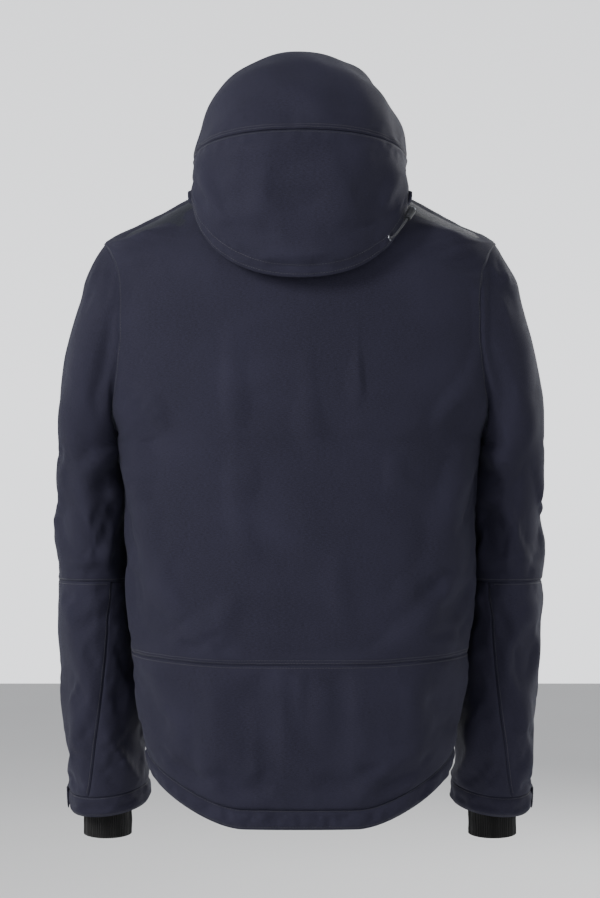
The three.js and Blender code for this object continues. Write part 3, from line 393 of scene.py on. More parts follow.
def station_at(z):
    """The station at a height on the sleeve's middle line."""
    stations = np.linspace(ELBOW_STATION - 2, END_STATION, 400)
    return float(np.interp(-z, -sleeve_value("z", stations), stations))


# ---- The hood's surface ----

HOOD_MIDDLE = np.array([0, 20.0, 20.0])
HOOD_TOP_Y = [
    (0, HOOD_BRIM_Y), (0.12, HOOD_BRIM_Y + 48), (0.236, 0), (0.39, HOOD_BACK_Y - 73),
    (0.53, HOOD_BACK_Y - 28), (0.66, HOOD_BACK_Y - 6), (0.8, HOOD_BACK_Y),
    (0.9, HOOD_BACK_Y - 2), (1, HOOD_BACK_Y - 9),
]
HOOD_TOP_HEIGHT = [
    (0, HOOD_BRIM_Z), (0.12, HOOD_TOP_Z - 13), (0.236, HOOD_TOP_Z), (0.39, HOOD_TOP_Z - 19),
    (0.53, HOOD_TOP_Z - 64), (0.66, mix(HOOD_TOP_Z, HOOD_DROP_Z, 0.46)),
    (0.8, mix(HOOD_TOP_Z, HOOD_DROP_Z, 0.7)), (1, HOOD_DROP_Z),
]
HOOD_SIDE_X = [(0, HOOD_HALF - 31), (0.236, HOOD_HALF - 7), (0.5, HOOD_HALF), (1, HOOD_HALF + 1)]
HOOD_SIDE_Y = [(0, -70), (0.236, -40), (HOOD_SEAM, 5), (1, 58)]
HOOD_SIDE_Z = [(0, 38), (0.236, 26), (HOOD_SEAM, 34), (1, -7)]
HOOD_FOOT_SHARE = 0.26
HOOD_POWER = 2 / 2.2


def hood_foot(share):
    angle = mix(30, 105, share)
    z = np.minimum(neckline_z(angle), NECK_Z) - mix(4, 14, share)
    return body_point(angle, z, -HOOD_FOOT_GAP) + np.array([0, 0, HOOD_FOOT_GAP])


def hood_point(across, share, depth=0.0):
    """The hood's surface. across runs from the right foot (-1) over the top (0) to the left (1)."""
    side = stack(through(HOOD_SIDE_X, share), through(HOOD_SIDE_Y, share), through(HOOD_SIDE_Z, share))
    top_y, top_z = through(HOOD_TOP_Y, share), through(HOOD_TOP_HEIGHT, share)
    away = np.abs(across)
    swing = np.clip(away / (1 - HOOD_FOOT_SHARE), 0, 1) * math.pi / 2
    wide = np.sin(swing) ** HOOD_POWER
    high = np.clip(np.cos(swing), 0, 1) ** HOOD_POWER
    x = side[..., 0] * wide
    y = side[..., 1] + (top_y - side[..., 1]) * high
    z = side[..., 2] + (top_z - side[..., 2]) * high
    t = np.clip((away - (1 - HOOD_FOOT_SHARE)) / HOOD_FOOT_SHARE, 0, 1)[..., None]
    foot = hood_foot(share)
    skirt = stack(
        mix(side[..., 0], foot[..., 0], t[..., 0] ** 2),
        mix(side[..., 1], foot[..., 1], t[..., 0]),
        mix(side[..., 2], foot[..., 2], t[..., 0]),
    )
    point = np.where(t > 0, skirt, stack(x, y, z))
    point = point + unit(HOOD_MIDDLE - point) * depth
    point[..., 0] *= np.where(across < 0, -1, 1)
    return point


# ---- Cloth: folds, ripples and settling ----


def ripple(points, wavelength, seed):
    """A smooth random height of about -1 to 1 at each point, the same on every run."""
    draw = np.random.default_rng(seed)
    total = np.zeros(points.shape[:-1])
    waves = 14
    for _ in range(waves):
        direction = unit(draw.normal(size=3))
        length = wavelength * draw.uniform(0.7, 1.6)
        total += np.sin(points @ direction * (2 * math.pi / length) + draw.uniform(0, 2 * math.pi))
    return total / math.sqrt(waves)


def crease(points, start, end, width, height):
    """A fold from start to end, (x, z) places, that is highest midway and dies out at its ends."""
    a, b = np.array(start, float), np.array(end, float)
    flat = points[..., [0, 2]] - a
    run = b - a
    t = np.clip(flat @ run / (run @ run), 0, 1)
    away = np.linalg.norm(flat - t[..., None] * run, axis=-1)
    return height * np.exp(-((away / width) ** 2)) * (0.25 + 0.75 * np.sin(math.pi * np.clip(t, 0.02, 0.98)))


def grid_of(surface, columns, rows, wrapped=False):
    """Points of a surface on a grid, rows by columns."""
    across = np.linspace(0, 1, columns, endpoint=not wrapped)
    along = np.linspace(0, 1, rows)
    u, v = np.meshgrid(across, along)
    return surface(u, v)


def normals_of(points, wrapped=False):
    """The outward direction at each point of a grid."""
    if wrapped:
        across = np.roll(points, -1, axis=1) - np.roll(points, 1, axis=1)
    else:
        across = np.gradient(points, axis=1)
    along = np.gradient(points, axis=0)
    return unit(np.cross(across, along))


def outward_of(points, wrapped=False, centre=None):
    """normals_of, turned so that they point away from the centre."""
    normals = normals_of(points, wrapped)
    middle = points.reshape(-1, 3).mean(axis=0) if centre is None else np.asarray(centre, float)
    if np.sum(normals * (points - middle)) < 0:
        normals = -normals
    return normals


def edge_distances(points, wrapped=False):
    """How far each point lies from the grid's low, high, start and end edges, along the cloth."""
    rows = np.linalg.norm(np.diff(points, axis=0), axis=-1)
    down = np.concatenate([np.zeros((1, points.shape[1])), np.cumsum(rows, axis=0)])
    columns = np.linalg.norm(np.diff(points, axis=1), axis=-1)
    aside = np.concatenate([np.zeros((points.shape[0], 1)), np.cumsum(columns, axis=1)], axis=1)
    far = np.full(points.shape[:2], 1e3)
    sides = (far, far) if wrapped else (aside, aside[:, -1:] - aside)
    return dict(low=down, high=down[-1:] - down, start=sides[0], end=sides[1])


def settled(points, spare, seed, cap=9.0, wrapped=False, gravity=0.35):
    """Lets a grid of cloth, sewn down along its edges, sink into its own soft folds.

    The cloth is cut larger than its place by the share spare. A point moves no further than cap.
    """
    normals = outward_of(points, wrapped)
    start = points + normals * ripple(points, 90, seed)[..., None] * 1.2
    rows, columns = points.shape[:2]
    vertices = (start.reshape(-1, 3) * MM).tolist()
    mesh = bpy.data.meshes.new("settling")
    mesh.from_pydata(vertices, [], quads(rows, columns, wrapped))
    cloth_object = bpy.data.objects.new("settling", mesh)
    bpy.context.scene.collection.objects.link(cloth_object)
    pinned = np.zeros((rows, columns), bool)
    pinned[0] = pinned[-1] = True
    if not wrapped:
        pinned[:, 0] = pinned[:, -1] = True
    group = cloth_object.vertex_groups.new(name="sewn")
    group.add(np.flatnonzero(pinned.ravel()).tolist(), 1.0, "REPLACE")
    cloth = cloth_object.modifiers.new("cloth", "CLOTH")
    cloth.settings.vertex_group_mass = "sewn"
    cloth.settings.shrink_min = -spare
    cloth.settings.quality = 6
    cloth.settings.mass = 0.25
    cloth.settings.tension_stiffness = 18
    cloth.settings.compression_stiffness = 18
    cloth.settings.shear_stiffness = 6
    cloth.settings.bending_stiffness = 0.6
    cloth.settings.air_damping = 4
    cloth.settings.effector_weights.gravity = gravity
    cloth.collision_settings.use_collision = False
    cloth.collision_settings.use_self_collision = False
    frames = 22
    cloth.point_cache.frame_start = 1
    cloth.point_cache.frame_end = frames
    for step in range(1, frames + 1):
        bpy.context.scene.frame_set(step)
    shape = cloth_object.evaluated_get(bpy.context.evaluated_depsgraph_get()).data
    places = np.zeros(rows * columns * 3)
    shape.vertices.foreach_get("co", places)
    bpy.data.objects.remove(cloth_object)
    bpy.data.meshes.remove(mesh)
    bpy.context.scene.frame_set(1)
    move = places.reshape(rows, columns, 3) / MM - points
    size = np.linalg.norm(move, axis=-1, keepdims=True)
    if not np.isfinite(size).all():
        return points
    return points + move * np.tanh(size / cap) * cap / np.maximum(size, 1e-6)


def finer(points, columns, rows, wrapped=False):
    """The same grid with more points, smoothly between the old ones."""
    if wrapped:
        points = np.concatenate([points, points[:, :1]], axis=1)
    for axis, count in ((0, rows), (1, columns + 1 if wrapped else columns)):
        old = np.arange(points.shape[axis])
        new = np.linspace(0, old[-1], count)
        i = np.clip(new.astype(int), 0, old[-1] - 1)
        t = (new - i).reshape((-1, 1, 1) if axis == 0 else (1, -1, 1))
        before = np.take(points, np.maximum(i - 1, 0), axis)
        here = np.take(points, i, axis)
        there = np.take(points, i + 1, axis)
        beyond = np.take(points, np.minimum(i + 2, old[-1]), axis)
        points = here + 0.5 * t * (there - before + t * (
            2 * before - 5 * here + 4 * there - beyond + t * (3 * (here - there) + beyond - before)))
    return points[:, :-1] if wrapped else points


# ---- Meshes ----


def quads(rows, columns, wrapped=False, offset=0, flipped=False):
    faces = []
    for j in range(rows - 1):
        for i in range(columns if wrapped else columns - 1):
            a = offset + j * columns + i
            b = offset + j * columns + (i + 1) % columns
            quad = (a, b, b + columns, a + columns)
            faces.append(quad[::-1] if flipped else quad)
    return faces


def new_mesh(name, vertices_mm, faces, material, uvs=None, smooth=True):
    """A mesh object in the frame, in metres, from points in the jacket's own millimetres."""
    vertices = np.asarray(vertices_mm, float).reshape(-1, 3) - np.array([0, SHIFT_Y, 0])
    mesh = bpy.data.meshes.new(name)
    mesh.from_pydata((vertices * MM).tolist(), [], faces)
    mesh.materials.append(material)
    if smooth:
        mesh.shade_smooth()
    if uvs is not None:
        layer = mesh.uv_layers.new(name="cloth")
        index = np.zeros(len(mesh.loops), int)
        mesh.loops.foreach_get("vertex_index", index)
        layer.data.foreach_set("uv", np.asarray(uvs)[index].astype(np.float32).ravel())
    piece = bpy.data.objects.new(name, mesh)
    bpy.context.scene.collection.objects.link(piece)
    return piece


def closed_sheet(name, outer, inner, material, wrapped=False, wear=None, backing=None):
    """A sheet of cloth as one closed mesh between its outer and inner grids."""
    rows, columns = outer.shape[:2]
    count = rows * columns
    face_rows = quads(rows, columns, wrapped)
    faces = face_rows + quads(rows, columns, wrapped, count, True)
    last = (rows - 1) * columns
    for i in range(columns if wrapped else columns - 1):
        k = (i + 1) % columns
        faces.append((i, count + i, count + k, k))
        faces.append((last + k, count + last + k, count + last + i, last + i))
    if not wrapped:
        for j in range(rows - 1):
            a, b = j * columns, (j + 1) * columns
            faces.append((b, count + b, count + a, a))
            a, b = a + columns - 1, b + columns - 1
            faces.append((a, count + a, count + b, b))
    if np.sum(normals_of(outer, wrapped) * (outer - inner)) < 0:
        faces = [face[::-1] for face in faces]
    reach = edge_distances(outer, wrapped)
    aside = reach["start"]
    if wrapped:
        around = np.concatenate([outer, outer[:, :1]], axis=1)
        length = np.linalg.norm(np.diff(around, axis=1), axis=-1).sum(axis=1).mean()
        aside = np.broadcast_to(np.arange(columns) / columns * length, (rows, columns))
    flat = np.stack([aside, reach["low"]], axis=-1).reshape(-1, 2) * MM
    points = np.concatenate([outer.reshape(-1, 3), inner.reshape(-1, 3)])
    piece = new_mesh(name, points, faces, material, np.concatenate([flat, flat]))
    if backing is not None:
        piece.data.materials.append(backing)
        index = np.zeros(len(faces), np.int32)
        index[len(face_rows):2 * len(face_rows)] = 1
        piece.data.polygons.foreach_set("material_index", index)
    seam = np.zeros(count) if wear is None else wear.ravel()
    attribute = piece.data.attributes.new("seam", "FLOAT", "POINT")
    attribute.data.foreach_set("value", np.concatenate([seam, seam]).astype(np.float32))
    return piece


def panel(name, points, lift, material, centre, seams=("low", "high", "start", "end"), thickness=PANEL,
          dip=0.9, roll=3.6, pucker=0.7, seed=1, wrapped=False, backing=None):
    """A padded panel: its cloth turns down into the seams along its edges, and puckers there.

    lift is how far its outer cloth stands off the pattern's grid. Returns the piece with its outer
    grid and normals, for stitching.
    """
    normals = outward_of(points, wrapped, centre)
    reach = edge_distances(points, wrapped)
    near = np.full(points.shape[:2], 1e3)
    for side in seams:
        near = np.minimum(near, reach[side])
    turned = np.exp(-((near / roll) ** 2) * 1.6)
    puckering = np.exp(-near / 13) * ripple(points, 17, seed) * pucker
    height = lift + puckering * (1 - turned) - dip * turned
    height = np.maximum(height, THINNEST - thickness)
    outer = points + normals * height[..., None]
    inner = points - normals * thickness
    piece = closed_sheet(name, outer, inner, material, wrapped, np.exp(-near / 6), backing)
    return piece, outer, outward_of(outer, wrapped, centre)


def cut_out(piece, cutter):
    """Cuts a closed shape out of a piece, and does away with the shape."""
    modifier = piece.modifiers.new("cut", "BOOLEAN")
    modifier.object = cutter
    modifier.solver = "MANIFOLD"
    shape = piece.evaluated_get(bpy.context.evaluated_depsgraph_get())
    mesh = bpy.data.meshes.new_from_object(shape)
    piece.modifiers.clear()
    piece.data = mesh
    bpy.data.objects.remove(cutter)


def tube(points, radius, sides):
    """Vertices and faces of a round tube along a line."""
    points = np.asarray(points, float)
    forward = unit(np.gradient(points, axis=0))
    aside = np.cross(forward[0], [0.31, 0.2, 0.93])
    vertices, faces = [], []
    for point, ahead in zip(points, forward):
        aside = unit(aside - ahead * (aside @ ahead))
        up = np.cross(ahead, aside)
        for j in range(sides):
            turn = 2 * math.pi * j / sides
            vertices.append(point + (aside * math.cos(turn) + up * math.sin(turn)) * radius)
    rings = len(points)
    for k in range(rings - 1):
        for j in range(sides):
            a, b = k * sides, (k + 1) * sides
            faces.append((a + j, a + (j + 1) % sides, b + (j + 1) % sides, b + j))
    faces.append(tuple(reversed(range(sides))))
    faces.append(tuple(range((rings - 1) * sides, rings * sides)))
    return vertices, faces


def block(low, high, chamfer=0.0):
    """Vertices and faces of a box, with its long edges cut off by chamfer."""
    (x0, y0, z0), (x1, y1, z1) = low, high
    c = min(chamfer, (x1 - x0) / 3, (y1 - y0) / 3)
    outline = [(x0 + c, y0), (x1 - c, y0), (x1, y0 + c), (x1, y1 - c),
               (x1 - c, y1), (x0 + c, y1), (x0, y1 - c), (x0, y0 + c)]
    count = len(outline)
    d = min(c, (z1 - z0) / 3)
    middle = ((x0 + x1) / 2, (y0 + y1) / 2)
    levels = [(z0, 1), (z0 + d, 0), (z1 - d, 0), (z1, 1)] if c > 0 else [(z0, 0), (z1, 0)]
    vertices = []
    for z, narrow in levels:
        for x, y in outline:
            toward = (middle[0] - x, middle[1] - y)
            size = math.hypot(*toward)
            step = d * narrow / size if size else 0
            vertices.append((x + toward[0] * step, y + toward[1] * step, z))
    faces = [tuple(reversed(range(count)))]
    for k in range(len(levels) - 1):
        for j in range(count):
            a, b = k * count, (k + 1) * count
            faces.append((a + j, a + (j + 1) % count, b + (j + 1) % count, b + j))
    last = (len(levels) - 1) * count
    faces.append(tuple(range(last, last + count)))
    return vertices, faces


def merged(parts):
    """Several (vertices, faces) as one."""
    vertices, faces = [], []
    for part_vertices, part_faces in parts:
        base = len(vertices)
        vertices.extend(np.asarray(part_vertices, float).tolist())
        faces.extend(tuple(base + k for k in face) for face in part_faces)
    return vertices, faces


# ---- Stitching ----


def line_beside(points, normals, side, distance, trim=4.0):
    """The line on a grid that runs at a distance from one of its edges, with its normals."""
    if side in ("start", "end"):
        points, normals = points.swapaxes(0, 1), normals.swapaxes(0, 1)
    if side in ("high", "end"):
        points, normals = points[::-1], normals[::-1]
    steps = np.linalg.norm(np.diff(points, axis=0), axis=-1)
    reach = np.concatenate([np.zeros((1, points.shape[1])), np.cumsum(steps, axis=0)])
    line, up = [], []
    for i in range(points.shape[1]):
        line.append([np.interp(distance, reach[:, i], points[:, i, k]) for k in range(3)])
        up.append([np.interp(distance, reach[:, i], normals[:, i, k]) for k in range(3)])
    line, up = np.array(line), unit(np.array(up))
    run = np.concatenate([[0], np.cumsum(np.linalg.norm(np.diff(line, axis=0), axis=-1))])
    keep = (run >= trim) & (run <= run[-1] - trim)
    return line[keep], up[keep]


STITCH_PITCH = 3.3
STITCH_LENGTH = 2.5
STITCH_RADIUS = 0.34


def line_at(values, run, places):
    """The values of a line at places along it, where run is each point's own place."""
    return np.stack([np.interp(places, run, values[:, k]) for k in range(3)], -1)


def stitches(lines):
    """Vertices and faces of a row of short threads laid along each (points, normals) line."""
    vertices, faces = [], []
    around = np.radians(np.arange(6) * 60)
    shape = [(-0.5, 0.35, -0.5), (-0.32, 0.9, 0.1), (0.32, 0.9, 0.1), (0.5, 0.35, -0.5)]
    for line, up in lines:
        if len(line) < 2:
            continue
        run = np.concatenate([[0], np.cumsum(np.linalg.norm(np.diff(line, axis=0), axis=-1))])
        places = np.arange(STITCH_PITCH, run[-1] - STITCH_PITCH / 2, STITCH_PITCH)
        middle, normal = line_at(line, run, places), unit(line_at(up, run, places))
        forward = unit(line_at(line, run, places + 0.6) - line_at(line, run, places - 0.6))
        across = unit(np.cross(forward, normal))
        for m, n, f, a in zip(middle, normal, forward, across):
            base = len(vertices)
            for share, size, lift in shape:
                centre = m + f * share * STITCH_LENGTH + n * STITCH_RADIUS * lift
                for turn in around:
                    vertices.append(centre + (a * math.cos(turn) + n * math.sin(turn)) * STITCH_RADIUS * size)
            for ring in range(3):
                for k in range(6):
                    q = base + ring * 6
                    faces.append((q + k, q + (k + 1) % 6, q + 6 + (k + 1) % 6, q + 6 + k))
            faces.append(tuple(base + k for k in reversed(range(6))))
            faces.append(tuple(base + 18 + k for k in range(6)))
    return vertices, faces


# ---- Materials ----


BANDS = 20
WAVE_TURN = 6.3
KNIT_ROW = 0.0012


class Nodes:
    """A short way to write a material's node tree."""

    def __init__(self, name):
        self.material = bpy.data.materials.new(name)
        self.material.use_nodes = True
        self.tree = self.material.node_tree
        self.shader = self.tree.nodes["Principled BSDF"]
        self.cloth = self.add("ShaderNodeUVMap", uv_map="cloth").outputs["UV"]
        self.space = self.add("ShaderNodeTexCoord").outputs["Object"]

    def add(self, kind, inputs=None, **settings):
        node = self.tree.nodes.new(kind)
        for key, value in settings.items():
            setattr(node, key, value)
        for key, value in (inputs or {}).items():
            if isinstance(value, bpy.types.NodeSocket):
                self.tree.links.new(value, node.inputs[key])
            else:
                node.inputs[key].default_value = value
        return node

    def link(self, value, name):
        self.tree.links.new(value, self.shader.inputs[name])

    def noise(self, place, scale, detail=3.0, stretch=None):
        if stretch is not None:
            place = self.add("ShaderNodeMapping", {"Vector": place, "Scale": stretch}).outputs["Vector"]
        made = self.add("ShaderNodeTexNoise", {"Vector": place, "Scale": scale, "Detail": detail})
        return made.outputs["Fac"]

    def wave(self, place, scale, angle=0.0, distortion=0.0):
        """Soft bands across a place's first coordinate."""
        turned = self.add("ShaderNodeMapping", {"Vector": place, "Rotation": (0, 0, angle)})
        made = self.add(
            "ShaderNodeTexWave",
            {"Vector": turned.outputs["Vector"], "Scale": scale, "Distortion": distortion},
            bands_direction="X",
        )
        return made.outputs["Fac"]

    def maths(self, operation, a, b):
        return self.add("ShaderNodeMath", {0: a, 1: b}, operation=operation).outputs[0]

    def ramp(self, value, low, high):
        """value from low to high, as 0 to 1."""
        node = self.add("ShaderNodeMapRange", {"Value": value, "From Min": low, "From Max": high})
        return node.outputs["Result"]

    def spread(self, value, low, high):
        """value from 0 to 1, as low to high."""
        node = self.add("ShaderNodeMapRange", {"Value": value, "To Min": low, "To Max": high})
        return node.outputs["Result"]

    def colour(self, share, first, second):
        node = self.add("ShaderNodeMix", data_type="RGBA")
        self.tree.links.new(share, node.inputs[0])
        node.inputs[6].default_value = (*first, 1)
        node.inputs[7].default_value = (*second, 1)
        return node.outputs[2]

    def blended(self, share, first, second):
        node = self.add("ShaderNodeMix", data_type="RGBA")
        self.tree.links.new(share, node.inputs[0])
        self.tree.links.new(first, node.inputs[6])
        self.tree.links.new(second, node.inputs[7])
        return node.outputs[2]

    def bump(self, height, distance, strength=1.0, under=None):
        inputs = {"Height": height, "Distance": distance, "Strength": strength}
        if under is not None:
            inputs["Normal"] = under
        return self.add("ShaderNodeBump", inputs).outputs["Normal"]


def linear(red, green, blue):
    """A colour given as 0 to 255 in sRGB, as the linear values that a shader takes."""
    shares = [c / 255 for c in (red, green, blue)]
    return tuple(((c + 0.055) / 1.055) ** 2.4 if c > 10 / 255 else c / 12.92 for c in shares)


def woven(name, dark, light, thread_size=0.00055, sheen=0.035, rough=(0.72, 0.92), fleck=0.5):
    """Plain woven cloth: fine crossing threads, mottled dye, and seams that are worn and pressed."""
    n = Nodes(name)
    scale = 1 / thread_size / BANDS
    warp = n.wave(n.cloth, scale * WAVE_TURN, math.radians(45), 0.4)
    weft = n.wave(n.cloth, scale * WAVE_TURN, math.radians(-45), 0.4)
    weave = n.maths("MULTIPLY", warp, weft)
    mottle = n.noise(n.cloth, 900, 4)
    slub = n.noise(n.cloth, 260, 3, (1, 5, 1))
    cloud = n.noise(n.cloth, 9, 3)
    seam = n.add("ShaderNodeAttribute", attribute_name="seam").outputs["Fac"]
    grain = n.maths("ADD", n.maths("MULTIPLY", mottle, fleck), n.maths("MULTIPLY", slub, 1 - fleck))
    base = n.colour(n.ramp(grain, 0.38, 0.64), dark, light)
    faded = n.colour(n.ramp(cloud, 0.3, 0.75), tuple(c * 0.9 for c in light), tuple(c * 1.25 for c in light))
    tinted = n.blended(n.maths("MULTIPLY", n.ramp(cloud, 0.35, 0.7), 0.35), base, faded)
    worn = n.colour(grain, tuple(c * 0.72 for c in dark), tuple(c * 1.2 for c in light))
    n.link(n.blended(n.maths("MULTIPLY", seam, 0.45), tinted, worn), "Base Color")
    n.link(n.spread(grain, *rough), "Roughness")
    soft = n.bump(n.noise(n.cloth, 120, 3), 0.0006, 0.35)
    fine = n.bump(mottle, 0.00025, 0.5, soft)
    n.link(n.bump(weave, 0.00018, 0.55, fine), "Normal")
    n.shader.inputs["Sheen Weight"].default_value = sheen
    n.shader.inputs["Sheen Roughness"].default_value = 0.45
    n.shader.inputs["Sheen Tint"].default_value = (0.62, 0.66, 0.85, 1)
    n.shader.inputs["Specular IOR Level"].default_value = 0.16
    return n.material


def knitted(name, dark, light, rib=0.0032):
    """Stretch rib knit: raised ribs down the cloth, with small stitches across them."""
    n = Nodes(name)
    ribs = n.wave(n.cloth, 1 / rib / BANDS * WAVE_TURN)
    rows = n.wave(n.cloth, 1 / KNIT_ROW / BANDS * WAVE_TURN, math.radians(90), 0.6)
    fuzz = n.noise(n.cloth, 1400, 3)
    share = n.maths("MULTIPLY", ribs, n.maths("ADD", n.maths("MULTIPLY", rows, 0.4), 0.6))
    n.link(n.colour(n.maths("MULTIPLY", share, n.ramp(fuzz, 0.2, 0.8)), dark, light), "Base Color")
    n.link(n.ramp(fuzz, -1.6, 0.9), "Roughness")
    first = n.bump(share, 0.0009, 0.8)
    n.link(n.bump(fuzz, 0.0003, 0.5, first), "Normal")
    n.shader.inputs["Sheen Weight"].default_value = 0.06
    n.shader.inputs["Sheen Roughness"].default_value = 0.6
    n.shader.inputs["Specular IOR Level"].default_value = 0.2
    return n.material


def spun(name, dark, light, scale=900.0):
    """Thread, braid and cord: fine twisted fibres."""
    n = Nodes(name)
    twist = n.wave(n.space, scale, math.radians(38), 1.5)
    fibre = n.noise(n.space, 2600, 2)
    share = n.maths("MULTIPLY", twist, n.ramp(fibre, 0.25, 0.75))
    n.link(n.colour(share, dark, light), "Base Color")
    n.link(n.ramp(fibre, -1.2, 1.1), "Roughness")
    n.link(n.bump(twist, 0.00012, 0.6), "Normal")
    n.shader.inputs["Sheen Weight"].default_value = 0.2
    return n.material


def moulded(name, dark, light, rough=0.42):
    """Moulded plastic with a faint grain and scuffs in stretched random patches."""
    n = Nodes(name)
    grain = n.noise(n.space, 1800, 4)
    scuff = n.noise(n.space, 160, 5, (1, 1, 4))
    worn = n.ramp(n.maths("MULTIPLY", scuff, grain), 0.25, 0.42)
    n.link(n.colour(worn, dark, light), "Base Color")
    n.link(n.spread(scuff, rough - 0.1, rough + 0.25), "Roughness")
    n.link(n.bump(grain, 0.00008, 0.6), "Normal")
    return n.material


def plated(name, dark, light, rough=0.28):
    """Plated zip metal, brushed and slightly rubbed."""
    n = Nodes(name)
    brush = n.noise(n.space, 500, 4, (1, 1, 14))
    rub = n.noise(n.space, 220, 4)
    n.link(n.colour(n.ramp(rub, 0.35, 0.7), dark, light), "Base Color")
    n.link(n.spread(brush, rough - 0.08, rough + 0.2), "Roughness")
    n.link(n.bump(brush, 0.00006, 0.5), "Normal")
    n.shader.inputs["Metallic"].default_value = 1.0
    return n.material


def painted_floor():
    n = Nodes("studio_floor")
    haze = n.noise(n.space, 1.4, 3)
    n.link(n.colour(haze, (0.8, 0.8, 0.8), (0.84, 0.84, 0.84)), "Base Color")
    n.shader.inputs["Roughness"].default_value = 0.9
    return n.material


shell = woven("shell_cloth", linear(21, 20.5, 31.5), linear(38, 37, 52))
# A darker copy of the shell cloth, which is painted shade, for the cuff tabs and the pocket welts
shell_painted_shade = woven("shell_cloth_painted_shade", linear(20, 19, 29), linear(35, 34, 48))
lining = woven("lining_cloth", linear(17, 18, 24), linear(31, 33, 42), 0.0004, 0.06, (0.45, 0.68), 0.3)
knit = knitted("gaiter_rib_knit", linear(6, 6, 6), linear(17, 17, 18))
tape = woven("zip_tape_weave", linear(15, 16, 21), linear(28, 30, 38), 0.0009, 0.05, (0.7, 0.9), 0.2)
thread = spun("sewing_thread", linear(16, 16, 23), linear(34, 34, 46), 1500.0)
braid = spun("cord_braid", linear(22, 23, 29), linear(54, 56, 66), 700.0)
plastic = moulded("moulded_plastic", linear(22, 23, 27), linear(50, 52, 58))
metal = plated("zip_metal", linear(105, 108, 112), linear(168, 171, 176))
bright = plated("lock_metal", linear(96, 98, 104), linear(150, 153, 160), 0.3)
tape_threads = spun("hang_loop_weave", linear(22, 24, 31), linear(50, 53, 66), 1200.0)


# ---- Placing pieces ----


ELBOW_BEND = 50.0  # half the length round the elbow given for a sleeve's bend; the bend's ends are worked out but not used
HOOD_BEND_START = (0, 75, -28)
HOOD_BEND_END = (0, 20, 85)


def frame_point(point):
    """A point in the jacket's own millimetres, in metres in the frame."""
    return tuple((np.asarray(point, float) - np.array([0, SHIFT_Y, 0])) * MM)


def on_side(side, points):
    """A grid made for the wearer's left, or its mirror image for the right."""
    return points if side > 0 else points * np.array([-1, 1, 1])


def finished(piece, body, nodes=()):
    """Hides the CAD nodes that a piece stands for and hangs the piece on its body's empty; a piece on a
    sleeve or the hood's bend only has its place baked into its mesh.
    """
    if nodes:
        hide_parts(*nodes)
    if body in ("left", "right"):
        middle_x = SLEEVE_X * (1 if body == "left" else -1)
        start = frame_point((middle_x, -53, ELBOW_Z + ELBOW_BEND))
        end = frame_point((middle_x, -53, ELBOW_Z - ELBOW_BEND))
        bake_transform(piece)
    elif body == "hood_bend":
        frame_point(HOOD_BEND_START)
        frame_point(HOOD_BEND_END)
        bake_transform(piece)
    else:
        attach(piece, body)
    return piece


stitch_lines = {}  # the stitching of each body or bend, gathered while its panels are made


def sew(body, outer, normals, *rows):
    """Lays rows of stitching, each (side, distance from it), on a panel's grid."""
    for side, distance in rows:
        stitch_lines.setdefault(body, []).append(line_beside(outer, normals, side, distance))


# ---- Folds, as (from, to, width, height) with places in x and z ----

def mirrored_folds(folds, side):
    return [((a[0] * side, a[1]), (b[0] * side, b[1]), width, height) for a, b, width, height in folds]


SHOULDER_FOLDS = [
    ((226, -81), (158, -47), 8, 4.6),
    ((214, -100), (176, -76), 8, 2.4),
    ((-145, -45), (-218, -72), 8, 4.6),
    ((-141, -62), (-239, -92), 8, 4.2),
    ((-180, -106), (-224, -114), 8, 2.0),
]
BACK_FOLDS = [
    ((-83, -124), (-86, -346), 8, -3.6),
    ((-70, -130), (-72, -330), 12, 2.0),
    ((-123, -204), (-146, -338), 16, -2.8),
    ((84, -150), (74, -420), 20, 2.4),
    ((108, -170), (98, -360), 10, -1.8),
    ((-14, -140), (-8, -380), 18, 2.0),
    ((30, -160), (38, -400), 12, -1.8),
    ((130, -200), (112, -470), 22, -2.0),
    ((-50, -380), (-40, -530), 16, 1.8),
    ((60, -470), (120, -540), 14, 1.6),
    ((-110, -450), (-170, -536), 14, 1.8),
]
LEFT_SIDE_FOLDS = [
    ((198, -232), (150, -290), 11, 2.8),
    ((198, -254), (168, -322), 9, -2.4),
    ((206, -330), (176, -372), 9, 2.0),
]
SIDE_FOLDS = mirrored_folds(LEFT_SIDE_FOLDS, -1) + LEFT_SIDE_FOLDS
LOWER_BACK_FOLDS = [
    ((36, -572), (36, -726), 8, -2.6),
    ((-60, -575), (-70, -700), 14, 1.8),
    ((96, -575), (104, -700), 16, 1.6),
    ((118, -570), (124, -690), 9, -1.8),
    ((-128, -566), (-136, -690), 12, 1.8),
    ((-20, -580), (-14, -720), 16, 1.4),
]
HEM_FOLDS = [((167, -662), (160, -694), 5, 2.0), ((152, -668), (154, -700), 5, 2.0)]
FRONT_FOLDS = [
    ((190, -232), (110, -300), 12, 2.8),
    ((186, -262), (120, -330), 10, -2.2),
    ((60, -180), (54, -330), 16, 1.8),
    ((150, -420), (110, -520), 16, 2.0),
    ((170, -560), (100, -600), 14, 1.8),
    ((28, -420), (34, -560), 9, -1.6),
    ((120, -110), (60, -180), 16, 1.8),
]
SLEEVE_FOLDS = [
    ((256, -110), (232, -102), 5, 1.8),
    ((262, -132), (236, -122), 5, -1.4),
    ((212, -300), (262, -342), 9, 3.0),
    ((214, -322), (250, -368), 8, -2.6),
    ((208, -352), (246, -392), 8, 2.2),
    ((290, -250), (262, -330), 12, 1.8),
    ((212, -432), (272, -446), 7, 2.6),
    ((214, -452), (268, -462), 7, -2.2),
    ((292, -420), (262, -448), 9, 2.0),
]
FOREARM_FOLDS = [
    ((210, -488), (266, -500), 7, 2.6),
    ((212, -508), (258, -524), 7, -2.2),
    ((286, -500), (250, -530), 9, 2.0),
    ((216, -580), (222, -690), 9, -1.8),
    ((270, -600), (262, -700), 10, 2.0),
    ((250, -560), (244, -690), 12, 1.8),
]
